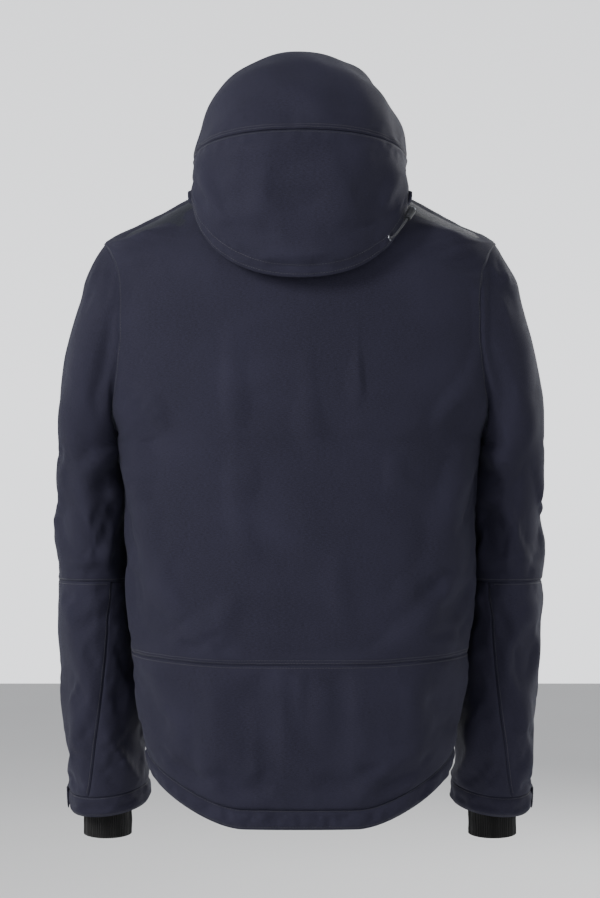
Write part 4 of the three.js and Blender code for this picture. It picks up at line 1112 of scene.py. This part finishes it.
HOOD_FOLDS = [
    ((115, 18), (92, -29), 8, 3.0),
    ((104, 4), (80, -40), 7, -2.2),
    ((-115, 10), (-96, -34), 8, 2.4),
    ((-70, -84), (70, -92), 9, 2.6),
    ((-94, -66), (-108, -84), 5, 2.0),
    ((-88, -78), (-98, -92), 4, -1.8),
    ((40, 30), (52, -60), 16, 1.8),
    ((-40, 28), (-56, -56), 16, 1.6),
]


FOLD_SCALE = 2.0  # the folds catch the light as much as they do on the real cloth
FINER = 3  # the shown grid's steps for each step of the settled one


def lift_of(surface, columns, rows, folds, seed, centre, wrapped=False, wavelength=70, height=1.6,
            spare=0.012, cap=6.0, gravity=0.35, fade=20.0, side=1):
    """How far a panel's cloth stands off its pattern: settled, softly uneven, and folded.

    The settling and the folds fade towards the seams, which stay where the pattern puts them.
    """
    points = on_side(side, grid_of(surface, columns, rows, wrapped))
    normals = outward_of(points, wrapped, centre)
    reach = edge_distances(points, wrapped)
    near = np.minimum.reduce(list(reach.values()))
    free = soft_step(0, fade, near)
    moved = np.sum((settled(points, spare, seed, cap, wrapped, gravity) - points) * normals, axis=-1)
    lift = (moved + ripple(points, wavelength, seed + 40) * height) * free
    for start, end, width, fold_height in folds:
        lift = lift + crease(points, start, end, width, fold_height * FOLD_SCALE) * (0.3 + 0.7 * free)
    return lift


def tailored(name, surface, size, folds, seed, body, nodes, centre, side=1, wrapped=False,
             stitching=(), loose=None, **options):
    """One padded panel: settled and folded on a coarse grid, then cut and sewn on a fine one."""
    columns, rows = size
    lift = lift_of(surface, columns, rows, folds, seed, centre, wrapped, side=side, **(loose or {}))
    fine_rows = (rows - 1) * FINER + 1
    fine_columns = columns * FINER if wrapped else (columns - 1) * FINER + 1
    lift = finer(lift[..., None], fine_columns, fine_rows, wrapped)[..., 0]
    points = on_side(side, grid_of(surface, fine_columns, fine_rows, wrapped))
    piece, outer, normals = panel(
        name, points, lift, shell, centre, seed=seed, wrapped=wrapped, backing=lining, **options)
    sew(body, outer, normals, *stitching)
    finished(piece, body, nodes)
    return piece


def thin_sheet(name, surface, size, body, nodes, centre, material, thickness,
               side=1, seed=1, wrapped=False, height=0.4, wavelength=45):
    """One unpadded sheet of cloth, made on a grid of the given size, with a soft ripple away from its edges.
    """
    points = on_side(side, grid_of(surface, size[0], size[1], wrapped))
    normals = outward_of(points, wrapped, centre)
    reach = edge_distances(points, wrapped)
    near = np.minimum.reduce(list(reach.values()))
    wave = ripple(points, wavelength, seed) * height * soft_step(0, 20, near)
    outer = points + normals * wave[..., None]
    inner = outer - normals * thickness
    piece = closed_sheet(name, outer, inner, material, wrapped, np.exp(-near / 6))
    finished(piece, body, nodes)
    middle = (outer + inner) / 2
    if wrapped:
        middle = np.concatenate([middle, middle[:, :1]], axis=1)
    return piece


# ---- The body ----

BODY_CENTRE = (0, MIDDLE_Y, -300)


def band_top(angle):
    return hem_at(angle) + HEM_BAND


def make_back():
    upper = [("low", 3.0), ("low", 6.0), ("start", 4.0), ("end", 4.0)]
    tailored("shell_back", back_surface, (41, 57), SHOULDER_FOLDS + BACK_FOLDS + SIDE_FOLDS, 3, "root",
             ["back_panel"], BODY_CENTRE, stitching=upper)
    across = (SIDE_ANGLE, 360 - SIDE_ANGLE)
    lower = band_surface(across, lambda a: band_top(a) + SEAM_GAP / 2, lambda a: waist_at(a) - SEAM_GAP / 2)
    tailored("shell_back_lower", lower, (41, 16), LOWER_BACK_FOLDS, 5, "root", ["back_lower_panel"],
             BODY_CENTRE, stitching=[("high", 3.0), ("start", 4.0), ("end", 4.0)])
    hem = band_surface(across, hem_at, lambda a: band_top(a) - SEAM_GAP / 2)
    tailored("shell_hem_back", hem, (61, 6), HEM_FOLDS, 7, "root", ["hem_band_back"], BODY_CENTRE,
             thickness=PANEL + 1.6, dip=2.4, roll=4.0, pucker=0.8, stitching=[("low", 4.0), ("high", 2.5)],
             loose=dict(spare=0.02, cap=3.0, fade=8.0, height=0.8))


POCKET_TOP_Z = -372.0
POCKET_BOTTOM_Z = POCKET_TOP_Z - 165
POCKET_TOP_ANGLE = 50.0
POCKET_BOTTOM_ANGLE = 56.0
POCKET_SLOT = 15.0
POCKET_RECESS = 1.2
WELT_RADIUS = 1.5


def pocket_frame(side):
    """A hand pocket's middle, and its sideways, inward and upward directions."""
    top = body_point(POCKET_TOP_ANGLE, POCKET_TOP_Z)
    bottom = body_point(POCKET_BOTTOM_ANGLE, POCKET_BOTTOM_Z)
    middle_angle = (POCKET_TOP_ANGLE + POCKET_BOTTOM_ANGLE) / 2
    middle_z = (POCKET_TOP_Z + POCKET_BOTTOM_Z) / 2
    up = unit(top - bottom)
    around = body_point(middle_angle + 1, middle_z) - body_point(middle_angle - 1, middle_z)
    rising = body_point(middle_angle, middle_z + 1) - body_point(middle_angle, middle_z - 1)
    outward = unit(np.cross(around, rising))
    outward = unit(outward - up * (outward @ up))
    flip = np.array([side, 1, 1])
    middle, outward, up = (top + bottom) / 2 * flip, outward * flip, up * flip
    return middle, np.cross(up, outward), -outward, up


def in_frame(place, points):
    """Points given in a frame (middle, sideways, inward, upward) in the jacket's millimetres."""
    middle, sideways, inward, up = place
    p = np.asarray(points, float)
    return middle + p[..., :1] * sideways + p[..., 1:2] * inward + p[..., 2:3] * up


def make_front(side, word):
    place = pocket_frame(side)
    stitching = [("start", 3.0), ("start", 11.0), ("end", 4.0), ("low", 3.0)]
    piece = tailored(f"shell_front_{word}", front_surface, (24, 61), FRONT_FOLDS, 11 + side, "root",
                     [f"front_panel_{word}"], BODY_CENTRE, side=side, stitching=stitching)
    half_length = (POCKET_TOP_Z - POCKET_BOTTOM_Z) / 2
    half_width = POCKET_SLOT / 2 - 0.8
    vertices, faces = block((-half_width, -20, -half_length + 1), (half_width, 20, half_length - 1))
    cut_out(piece, new_mesh(f"pocket_cutter_{word}", in_frame(place, vertices), faces, shell, smooth=False))
    zip_angle = float(angle_of(ZIP_EDGE, 0, np.array(HEM_Z)))
    hem = band_surface((zip_angle, FRONT_SIDE_ANGLE), hem_at, lambda a: band_top(a) - SEAM_GAP / 2)
    tailored(f"shell_hem_front_{word}", hem, (24, 6), [], 15 + side, "root", [f"hem_band_front_{word}"],
             BODY_CENTRE, side=side, thickness=PANEL + 1.6, dip=2.4, roll=4.0, pucker=0.8,
             stitching=[("low", 4.0), ("high", 2.5), ("start", 3.0)],
             loose=dict(spare=0.02, cap=3.0, fade=8.0, height=0.8))


def make_collar():
    tailored("shell_collar", collar_surface, (61, 8), [], 21, "root", ["collar"], BODY_CENTRE,
             dip=1.6, stitching=[("high", 4.0), ("low", 3.0), ("start", 3.0), ("end", 3.0)],
             loose=dict(spare=0.015, cap=3.0, fade=10.0, height=0.9))


PLACKET_DEPTH = 8.9
BAG_DEPTHS = (5.8, 12.2)
BAG_ROOM = 7.6
LINING_GAP = 0.2


def make_back_lining():
    def behind(across, along):
        return back_surface(across, along, LINING_DEPTH + LINING_GAP)
    thin_sheet("lining_cloth_back", behind, (61, 81), "root", ["lining_back"], BODY_CENTRE, lining,
               LINING, seed=31, height=0.35)


def make_front_lining(side, word):
    """The front's lining, which stands off behind the pocket bag."""
    def behind(across, along):
        u = mix(1 / 7, 1, across)
        v = mix(0.045, 0.93, along)
        columns = soft_step(0.24, 0.3, u) * (1 - soft_step(0.9, 0.95, u))
        level = front_surface(u, v)[..., 2]
        bag = columns * soft_step(POCKET_BOTTOM_Z - 60, POCKET_BOTTOM_Z - 36, level)
        bag = bag * (1 - soft_step(POCKET_TOP_Z + 24, POCKET_TOP_Z + 60, level))
        return front_surface(u, v, LINING_DEPTH + LINING_GAP + BAG_ROOM * bag)
    thin_sheet(f"lining_cloth_front_{word}", behind, (49, 101), "root", [f"lining_front_{word}"],
               BODY_CENTRE, lining, LINING,
               side=side, seed=33 + side, height=0.3)


def make_placket():
    """The storm placket, which covers the zip from behind."""
    def placket(across, along):
        level = mix(HEM_Z + HEM_BAND + 12, NECK_Z - NECK_DROP - 2, along)
        reach = mix(-17, 28, across)
        depth = mix(PLACKET_DEPTH, LINING_DEPTH, soft_step(0.75, 1, across))
        return body_point(angle_of(1, 0, level) * reach, level, depth)
    thin_sheet("storm_placket_cloth", placket, (16, 121), "root", ["storm_placket"], BODY_CENTRE, shell,
               LINING, seed=41, height=0.25)


def make_pocket_bag(side, word):
    """A flat cloth bag behind the front panel, pinched shut along its edges."""
    def bag(deeper):
        def surface(across, along):
            edge = np.minimum(np.minimum(across, 1 - across) * 5, np.minimum(along, 1 - along) * 7)
            open_out = soft_step(0, 1, np.clip(edge, 0, 1)) ** 0.5
            middle = sum(BAG_DEPTHS) / 2
            depth = mix(middle, BAG_DEPTHS[deeper], open_out * 0.92 + 0.08)
            u = mix(2 / 7 + 0.01, 6 / 7 - 0.01, across)
            level_share = mix(0.245, 0.5, along)
            return front_surface(u, level_share, depth)
        return on_side(side, grid_of(surface, 25, 41))
    outer, inner = bag(0), bag(1)
    piece = closed_sheet(f"pocket_bag_cloth_{word}", outer, inner, lining)
    finished(piece, "root", [f"pocket_bag_{word}"])


# ---- The sleeves ----


def sleeve_surface(first, last):
    def surface(across, along):
        return sleeve_point(mix(first, last, along), across * 360)
    return surface


BACK_SEAM = (124.0, 63.0)  # the forearm's back seam at the elbow and at the cuff, as turns
FRONT_SEAM = 248.0
SEAM_TURN = 0.3


def forearm_surface(is_under):
    first, last = station_at(ELBOW_Z - SEAM_GAP), station_at(CUFF_Z + SEAM_GAP)

    def surface(across, along):
        back_seam = mix(BACK_SEAM[0], BACK_SEAM[1], along)
        start = back_seam + SEAM_TURN if is_under else FRONT_SEAM - 360 + SEAM_TURN
        end = FRONT_SEAM - SEAM_TURN if is_under else back_seam - SEAM_TURN
        return sleeve_point(mix(first, last, along), mix(start, end, across))
    return surface


def make_sleeve(side, word):
    centre = (SLEEVE_X * side, -30, -300)
    folds = mirrored_folds(SLEEVE_FOLDS, side)
    tailored(f"shell_sleeve_{word}", sleeve_surface(0, ELBOW_STATION), (40, 40), folds, 51 + side, word,
             [f"sleeve_upper_{word}", f"sleeve_elbow_{word}"], centre, side=side, wrapped=True,
             seams=("high",), stitching=[("high", 3.0)])
    centre = (SLEEVE_X * side, -78, -600)
    folds = mirrored_folds(FOREARM_FOLDS, side)
    tailored(f"shell_forearm_{word}", forearm_surface(False), (26, 26), folds, 55 + side, word,
             [f"sleeve_lower_{word}"], centre, side=side, stitching=[("low", 3.0), ("end", 3.0)])
    tailored(f"shell_forearm_under_{word}", forearm_surface(True), (20, 26), folds, 59 + side, word,
             [f"sleeve_under_{word}"], centre, side=side)
    forearm = f"forearm_{word}"
    centre = (240 * side, -104, -735)
    tailored(f"shell_cuff_{word}", sleeve_surface(CUFF_STATION, END_STATION), (40, 5), [], 63 + side, forearm,
             [f"cuff_band_{word}"], centre, side=side, wrapped=True, dip=2.2, roll=4.0, pucker=0.8,
             stitching=[("low", 3.0), ("high", 3.5)],
             loose=dict(spare=0.02, cap=2.5, fade=8.0, height=0.6))
    make_tab(side, word)
    make_gaiter(side, word)


TAB_HINGE_TURN = 8.0
TAB_END_TURN = -72.0
TAB_HEIGHT = 24.0
TAB_GAP = 0.5
TAB_THICKNESS = 2.2


def make_tab(side, word):
    middle = station_at((CUFF_Z + SLEEVE_END_Z) / 2)
    half = TAB_HEIGHT / 2 / (CUFF_Z - SLEEVE_END_Z) * (END_STATION - CUFF_STATION)

    def surface(across, along):
        taper = 1 - 0.35 * soft_step(0.8, 1, across)
        station = middle + half * (along * 2 - 1) * taper
        return sleeve_point(station, mix(TAB_HINGE_TURN, TAB_END_TURN, across), -TAB_GAP - TAB_THICKNESS)
    points = on_side(side, grid_of(surface, 61, 21))
    centre = (240 * side, -104, -735)
    # The tab takes the darker copy of the shell cloth, which is painted shade
    piece, outer, normals = panel(f"cuff_tab_cloth_{word}", points, np.zeros(points.shape[:2]), shell_painted_shade,
                                  centre, thickness=TAB_THICKNESS - 0.1, dip=0.7, roll=2.0, pucker=0.15)
    body = f"cuff_tab_{word}"
    sew(body, outer, normals, ("low", 2.5), ("high", 2.5), ("end", 2.5), ("start", 3.0), ("start", 12.0))
    finished(piece, body, [body])


GAITER_RADIUS = 29.5
GAITER_DROP = 38.0
GAITER_OVAL = 1.12
GAITER_CLOTH = 2.4
THUMB_SLIT = (6.0, 20.0)


def make_gaiter(side, word):
    """The black stretch gaiter: a rib knit tube that narrows to the wrist, with a slit for the thumb."""
    top = CUFF_Z + 6
    end_x = float(sleeve_value("x", END_STATION)) + 3
    end_y = float(sleeve_value("y", END_STATION)) - 6
    ribs = 64

    def surface(across, along):
        turn = across * 360
        wide = sleeve_point(station_at(top), turn, PANEL + 1.4)
        bulge = 0.3 * np.cos(across * 2 * math.pi * ribs)
        reach = GAITER_RADIUS + bulge
        z = mix(top, SLEEVE_END_Z - GAITER_DROP, along) - 3 * np.sin(np.radians(turn)) * along
        x = end_x + reach * np.cos(np.radians(turn))
        y = end_y + reach * GAITER_OVAL * np.sin(np.radians(turn)) + (1 - along) * 4
        return mix(wide, stack(x, y, z), soft_step(0, 0.62, along)[..., None])
    piece = thin_sheet(
        f"gaiter_knit_{word}", surface, (ribs * 6, 36), f"forearm_{word}", [f"wrist_gaiter_{word}"],
        (240 * side, -110, -760), knit, GAITER_CLOTH,
        side=side, seed=71 + side, wrapped=True, height=0.5, wavelength=24)
    slit_x = (end_x - GAITER_RADIUS) * side
    slit_z = SLEEVE_END_Z - GAITER_DROP / 2
    width, length = THUMB_SLIT
    low = (slit_x - 10, end_y - width / 2, slit_z - length / 2)
    high = (slit_x + 10, end_y + width / 2, slit_z + length / 2)
    vertices, faces = block(low, high)
    cut_out(piece, new_mesh(f"slit_cutter_{word}", vertices, faces, knit, smooth=False))


# ---- The hood ----


def hood_surface(first, last, depth=0.0):
    def surface(across, along):
        return hood_point(across * 2 - 1, mix(first, last, along), depth)
    return surface


HOOD_GAP = 0.002


def make_hood_panels():
    centre = tuple(HOOD_MIDDLE)
    tailored("hood_brim_binding", hood_surface(0, BRIM_SHARE, -0.8), (61, 5), [], 81, "hood_bend",
             ["hood_brim"], centre, thickness=PANEL + 1.6, dip=1.8, roll=3.5, pucker=0.3,
             stitching=[("low", 3.0), ("high", 2.0)],
             loose=dict(spare=0.004, cap=1.0, gravity=0.0, fade=6.0, height=0.3))
    tailored("hood_crown", hood_surface(BRIM_SHARE + HOOD_GAP, HOOD_SEAM), (61, 31), HOOD_FOLDS, 83,
             "hood_bend", ["hood_crown_panel"], centre, pucker=0.7,
             stitching=[("high", 3.0), ("high", 6.0), ("low", 3.0)],
             loose=dict(wavelength=60, height=1.7, spare=0.005, cap=2.5, gravity=0.0))
    tailored("hood_back", hood_surface(HOOD_SEAM + HOOD_GAP, 1), (61, 24), HOOD_FOLDS, 85, "hood_bend",
             ["hood_back_panel"], centre, pucker=1.0,
             stitching=[("low", 2.5), ("high", 4.0), ("high", 15.0)],
             loose=dict(wavelength=55, height=1.8, spare=0.006, cap=3.0, gravity=0.05))


def make_hood_foot(side, word):
    """A strip of lining from the hood's foot down to the neck seam."""
    def foot_strip(across, along):
        foot = hood_point(np.ones_like(across), across, 2.5) + np.array([0, 0, 1.5])
        angle = mix(27, 118, across)
        sewn = body_point(angle, neckline_z(angle) - 1, 1)
        return mix(foot, sewn, along[..., None])
    thin_sheet(f"hood_foot_cloth_{word}", foot_strip, (49, 7), "hood_bend", [], (0, 0, -60), lining,
               1.2, side=side, seed=91 + side, height=0.2)


def make_hood_neck():
    """The lining between the hood's back and the nape."""
    def neck(across, along):
        turn = mix(-1.0, 1.0, across)
        base = body_point(180 - turn * 62, NECK_Z + 3, -0.8)
        hung = hood_point(turn * 0.66, np.full_like(turn, 0.93), PANEL + 2.0)
        return mix(base, hung, along[..., None])
    thin_sheet("hood_neck_cloth", neck, (61, 13), "hood_bend", ["hood_neck_panel"], (0, 0, 40), lining,
               1.6, seed=87, height=0.4)


# ---- The main zip ----

ZIP_LEAN = math.atan(FRONT_SLOPE)
ZIP_LENGTH = (ZIP_TOP_Z - ZIP_BOTTOM_Z) / math.cos(ZIP_LEAN)
ZIP_PLACE = (
    np.array([0, -front_at(ZIP_TOP_Z), ZIP_TOP_Z]),
    np.array([1.0, 0, 0]),
    np.array([0, math.cos(ZIP_LEAN), -math.sin(ZIP_LEAN)]),
    np.array([0, math.sin(ZIP_LEAN), math.cos(ZIP_LEAN)]),
)
TAPE_FRONT = 5.7
TAPE_WIDTH = 12.0
TOOTH_PITCH = 3.4
TEETH_DEPTH = (2.4, 5.4)
ZIP_HALF_SLOT = 0.9


def piece_of(name, place, parts, material, smooth=False):
    vertices, faces = merged(parts)
    return new_mesh(name, in_frame(place, vertices), faces, material, smooth=smooth)


def zip_tooth(z, side):
    """A moulded tooth: a root on the tape and a narrower head that reaches into the other row."""
    front, back = TEETH_DEPTH
    half = TOOTH_PITCH * 0.23
    root = block((1.4, front + 0.2, z - half), (4.3, back, z + half), 0.3)
    head = block((-0.7, front + 0.5, z - half * 1.25), (1.7, back - 0.5, z + half * 1.25), 0.35)
    parts = [root, head]
    if side > 0:
        return parts
    return [([(-x, y, zz) for x, y, zz in v], [f[::-1] for f in faces]) for v, faces in parts]


def make_zip():
    for side, word in SIDES:
        def tape_surface(across, along):
            x = mix(ZIP_HALF_SLOT, ZIP_HALF_SLOT + TAPE_WIDTH, across) * side
            edge_cord = 0.25 * np.exp(-((across - 0.06) / 0.04) ** 2)
            local = stack(x, TAPE_FRONT - edge_cord, -along * ZIP_LENGTH)
            return in_frame(ZIP_PLACE, local)
        points = grid_of(tape_surface, 25, 161)
        piece = closed_sheet(f"zip_tape_cloth_{word}", points, points + ZIP_PLACE[2] * 0.9, tape)
        finished(piece, "root", [f"zip_tape_{word}"])
        first = -4.6 - TOOTH_PITCH * (0.75 if side > 0 else 1.25)
        count = int((ZIP_LENGTH - 8.6 + first) / TOOTH_PITCH)
        parts = []
        for k in range(count):
            parts.extend(zip_tooth(first - k * TOOTH_PITCH, side))
        finished(piece_of(f"zip_teeth_moulded_{word}", ZIP_PLACE, parts, plastic), "root",
                 [f"zip_teeth_{word}"])


# ---- Hand pockets ----


COIL_PITCH = 1.5
COIL_STEPS = 10  # points to one turn of the coil
COIL_WIRE = 0.34


def make_pocket_zip(side, word):
    place = pocket_frame(side)
    half_width = POCKET_SLOT / 2 - 0.5
    half_length = (POCKET_TOP_Z - POCKET_BOTTOM_Z) / 2 - 0.5

    def surface(across, along):
        x = mix(-half_width, half_width, across)
        edge = 0.3 * np.exp(-((np.abs(x) - 0.9) / 0.5) ** 2)
        local = stack(x, POCKET_RECESS + 0.3 - edge, mix(-half_length, half_length, along))
        return in_frame(place, local)
    points = grid_of(surface, 31, 81)
    piece = closed_sheet(f"pocket_tape_cloth_{word}", points, points + place[2] * 1.2, tape)
    finished(piece, "root", [f"pocket_zip_{word}"])
    turns = int((2 * half_length - 8) / COIL_PITCH)
    steps = np.arange(turns * COIL_STEPS + 1)
    turn = steps * 2 * math.pi / COIL_STEPS
    line = np.stack([1.75 * np.sin(turn), POCKET_RECESS - 0.35 + 0.75 * np.cos(turn),
                     half_length - 4 - steps * COIL_PITCH / COIL_STEPS], axis=-1)
    coil = piece_of(f"pocket_coil_{word}", place, [tube(line, COIL_WIRE, 6)], plastic, True)
    finished(coil, "root", ())
    welt = []
    reach = POCKET_SLOT / 2 - 0.6
    for sign in (-1, 1):
        across = [(sign * reach, -0.6, z) for z in np.linspace(-half_length - 1, half_length + 1, 60)]
        welt.append(tube(across, WELT_RADIUS, 10))
        along = [(x, -0.6, sign * (half_length + 1)) for x in np.linspace(-reach, reach, 12)]
        welt.append(tube(along, WELT_RADIUS, 10))
    # The welts take the darker copy of the shell cloth, which is painted shade
    finished(piece_of(f"pocket_welt_{word}", place, welt, shell_painted_shade, True), "root", ())


# ---- Hardware kept from the CAD ----


EDGE_ROUNDING = 0.25


def finish_hardware():
    kinds = {metal: ("zip_stop_left", "zip_stop_right", "main_slider", "pocket_slider_left",
                     "pocket_slider_right"),
             plastic: ("zip_box", "main_puller", "pocket_puller_left", "pocket_puller_right", "cord_lock"),
             bright: ("cord_lock_plunger", "hood_eyelet")}
    for material, names in kinds.items():
        for name in names:
            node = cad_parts[name]
            node.data.materials.clear()
            node.data.materials.append(material)
            rounding = node.modifiers.new("rounded_edges", "BEVEL")
            rounding.width = EDGE_ROUNDING * MM
            rounding.segments = 2
            rounding.limit_method = "ANGLE"


# ---- The hood's cord and the hang loop ----

CORD_ROUTE = [
    (-105.4, 107, -65), (-107.6, 108.2, -64.8), (-109.8, 107.7, -63), (-113.9, 102.4, -58.2),
    (-119.3, 97, -51), (-123.2, 92.2, -45.4), (-125.4, 88.9, -41.6),
]
CORD_RADIUS = 1.25
STRAND_RADIUS = 0.27
STRAND_PITCH = 7


def braid_strands(route, length):
    """Twelve thin strands wound both ways round the cord's core."""
    forward = unit(np.gradient(route, axis=0))
    aside = unit(np.cross(forward, [0.3, 0.2, 0.9]))
    up = np.cross(forward, aside)
    run = np.linspace(0, 1, len(route))
    strands = []
    for direction in (-1, 1):
        reach = CORD_RADIUS - 0.3 + 0.08 * direction
        for strand in range(6):
            turn = direction * run * length / STRAND_PITCH * 2 * math.pi + strand * math.pi / 3
            line = route + (aside * np.cos(turn)[:, None] + up * np.sin(turn)[:, None]) * reach
            strands.append(tube(line, STRAND_RADIUS, 5))
    return strands


def make_cord():
    route = finer(np.array(CORD_ROUTE, float)[:, None], 1, 61)[:, 0]
    length = np.linalg.norm(np.diff(route, axis=0), axis=-1).sum()
    vertices, faces = merged([tube(route, CORD_RADIUS - 0.2, 10), *braid_strands(route, length)])
    cord = new_mesh("hood_cord_braid", vertices, faces, braid)
    finished(cord, "root", ["hood_cord"])
    frame_point(route[0])
    [frame_point(p) for p in route]


LOOP_HALF = 31.0
LOOP_HEIGHT = 7.0
LOOP_CLOTH = 2.4
LOOP_END = 2.5  # half the width of a sewn end


def make_hang_loop():
    """A woven strip, folded over and sewn down at its ends, with a slot that a hook goes through."""
    near, far = box_mm("hang_loop")
    y = (near[1] + far[1]) / 2 + SHIFT_Y
    parts = []
    for z in (-LOOP_HEIGHT - LOOP_CLOTH / 2, LOOP_CLOTH / 2):
        line = [(x, y, z) for x in np.linspace(-LOOP_HALF + 1.2, LOOP_HALF - 1.2, 40)]
        parts.append(tube(line, LOOP_CLOTH / 2, 10))
    for sign in (-1, 1):
        x = sign * (LOOP_HALF - LOOP_END)
        low = (x - LOOP_END, y - 1.1, -LOOP_HEIGHT - LOOP_CLOTH + 0.3)
        high = (x + LOOP_END, y + 1.1, LOOP_CLOTH - 0.3)
        parts.append(block(low, high, 0.6))
    vertices, faces = merged(parts)
    piece = new_mesh("hang_loop_strip", vertices, faces, tape_threads)
    finished(piece, "root", ["hang_loop"])


def make_stitching():
    """All the rows of stitches, one piece for each body or bend."""
    for body, lines in stitch_lines.items():
        vertices, faces = stitches(lines)
        finished(new_mesh(f"stitching_{body}", vertices, faces, thread), body)


# ---- Build everything ----

make_back()
for side, word in SIDES:
    make_front(side, word)
    make_sleeve(side, word)
    make_pocket_zip(side, word)
make_collar()
make_back_lining()
for side, word in SIDES:
    make_front_lining(side, word)
    make_pocket_bag(side, word)
make_placket()
make_hood_panels()
for side, word in SIDES:
    make_hood_foot(side, word)
make_hood_neck()
make_zip()
make_cord()
make_hang_loop()
finish_hardware()
make_stitching()


# ---- Studio ----


JACKET_MIDDLE = Vector((0, -0.063, -0.311))
FLOOR_Z = -1.15
FLOOR_SIZE = 14
HORIZON_LIGHT = 1.9
OVERHEAD_LIGHT = 0.28
CAMERA_DISTANCE = 3.5
SEEN_HEIGHT = 1.0776  # the height that the picture takes in, at the jacket's middle
SENSOR = 36


def area_light(name, place, size, power):
    light = bpy.data.lights.new(name, "AREA")
    light.shape = "RECTANGLE"
    light.size, light.size_y = size
    light.energy = power
    lamp = bpy.data.objects.new(name, light)
    lamp.location = place
    lamp.rotation_euler = (JACKET_MIDDLE - Vector(place)).to_track_quat("-Z", "Y").to_euler()
    bpy.context.scene.collection.objects.link(lamp)


def make_world():
    """A room of soft white light that is brightest at the horizon."""
    world = bpy.data.worlds.new("studio")
    world.use_nodes = True
    tree = world.node_tree
    direction = tree.nodes.new("ShaderNodeTexCoord")
    parts = tree.nodes.new("ShaderNodeSeparateXYZ")
    falloff = tree.nodes.new("ShaderNodeMapRange")
    falloff.inputs["From Min"].default_value = 0.02
    falloff.inputs["From Max"].default_value = 0.7
    falloff.inputs["To Min"].default_value = HORIZON_LIGHT
    falloff.inputs["To Max"].default_value = OVERHEAD_LIGHT
    tree.links.new(direction.outputs["Generated"], parts.inputs[0])
    tree.links.new(parts.outputs["Z"], falloff.inputs["Value"])
    tree.links.new(falloff.outputs["Result"], tree.nodes["Background"].inputs["Strength"])
    tree.nodes["Background"].inputs["Color"].default_value = (0.96, 0.97, 1, 1)
    bpy.context.scene.world = world


def make_floor():
    bpy.ops.mesh.primitive_plane_add(size=FLOOR_SIZE, location=(0, 0, FLOOR_Z))
    floor = bpy.context.object
    floor.name = "studio_floor"
    floor.data.materials.append(painted_floor())


def make_camera():
    """A long lens straight behind the jacket."""
    camera_data = bpy.data.cameras.new("camera")
    camera_data.sensor_width = SENSOR
    camera_data.lens = SENSOR * CAMERA_DISTANCE / SEEN_HEIGHT
    camera = bpy.data.objects.new("camera", camera_data)
    camera.location = JACKET_MIDDLE + Vector((0, CAMERA_DISTANCE, 0))
    camera.rotation_euler = (math.pi / 2, 0, math.pi)
    bpy.context.scene.collection.objects.link(camera)
    bpy.context.scene.camera = camera


make_floor()
make_world()
area_light("key", (2.3, 2.0, 1.2), (0.8, 1.4), 120)
area_light("front_fill", (-1.8, -2.4, 0.9), (1.2, 1.6), 70)
area_light("top", (0.9, 0.8, 2.0), (1.0, 1.0), 6)
make_camera()
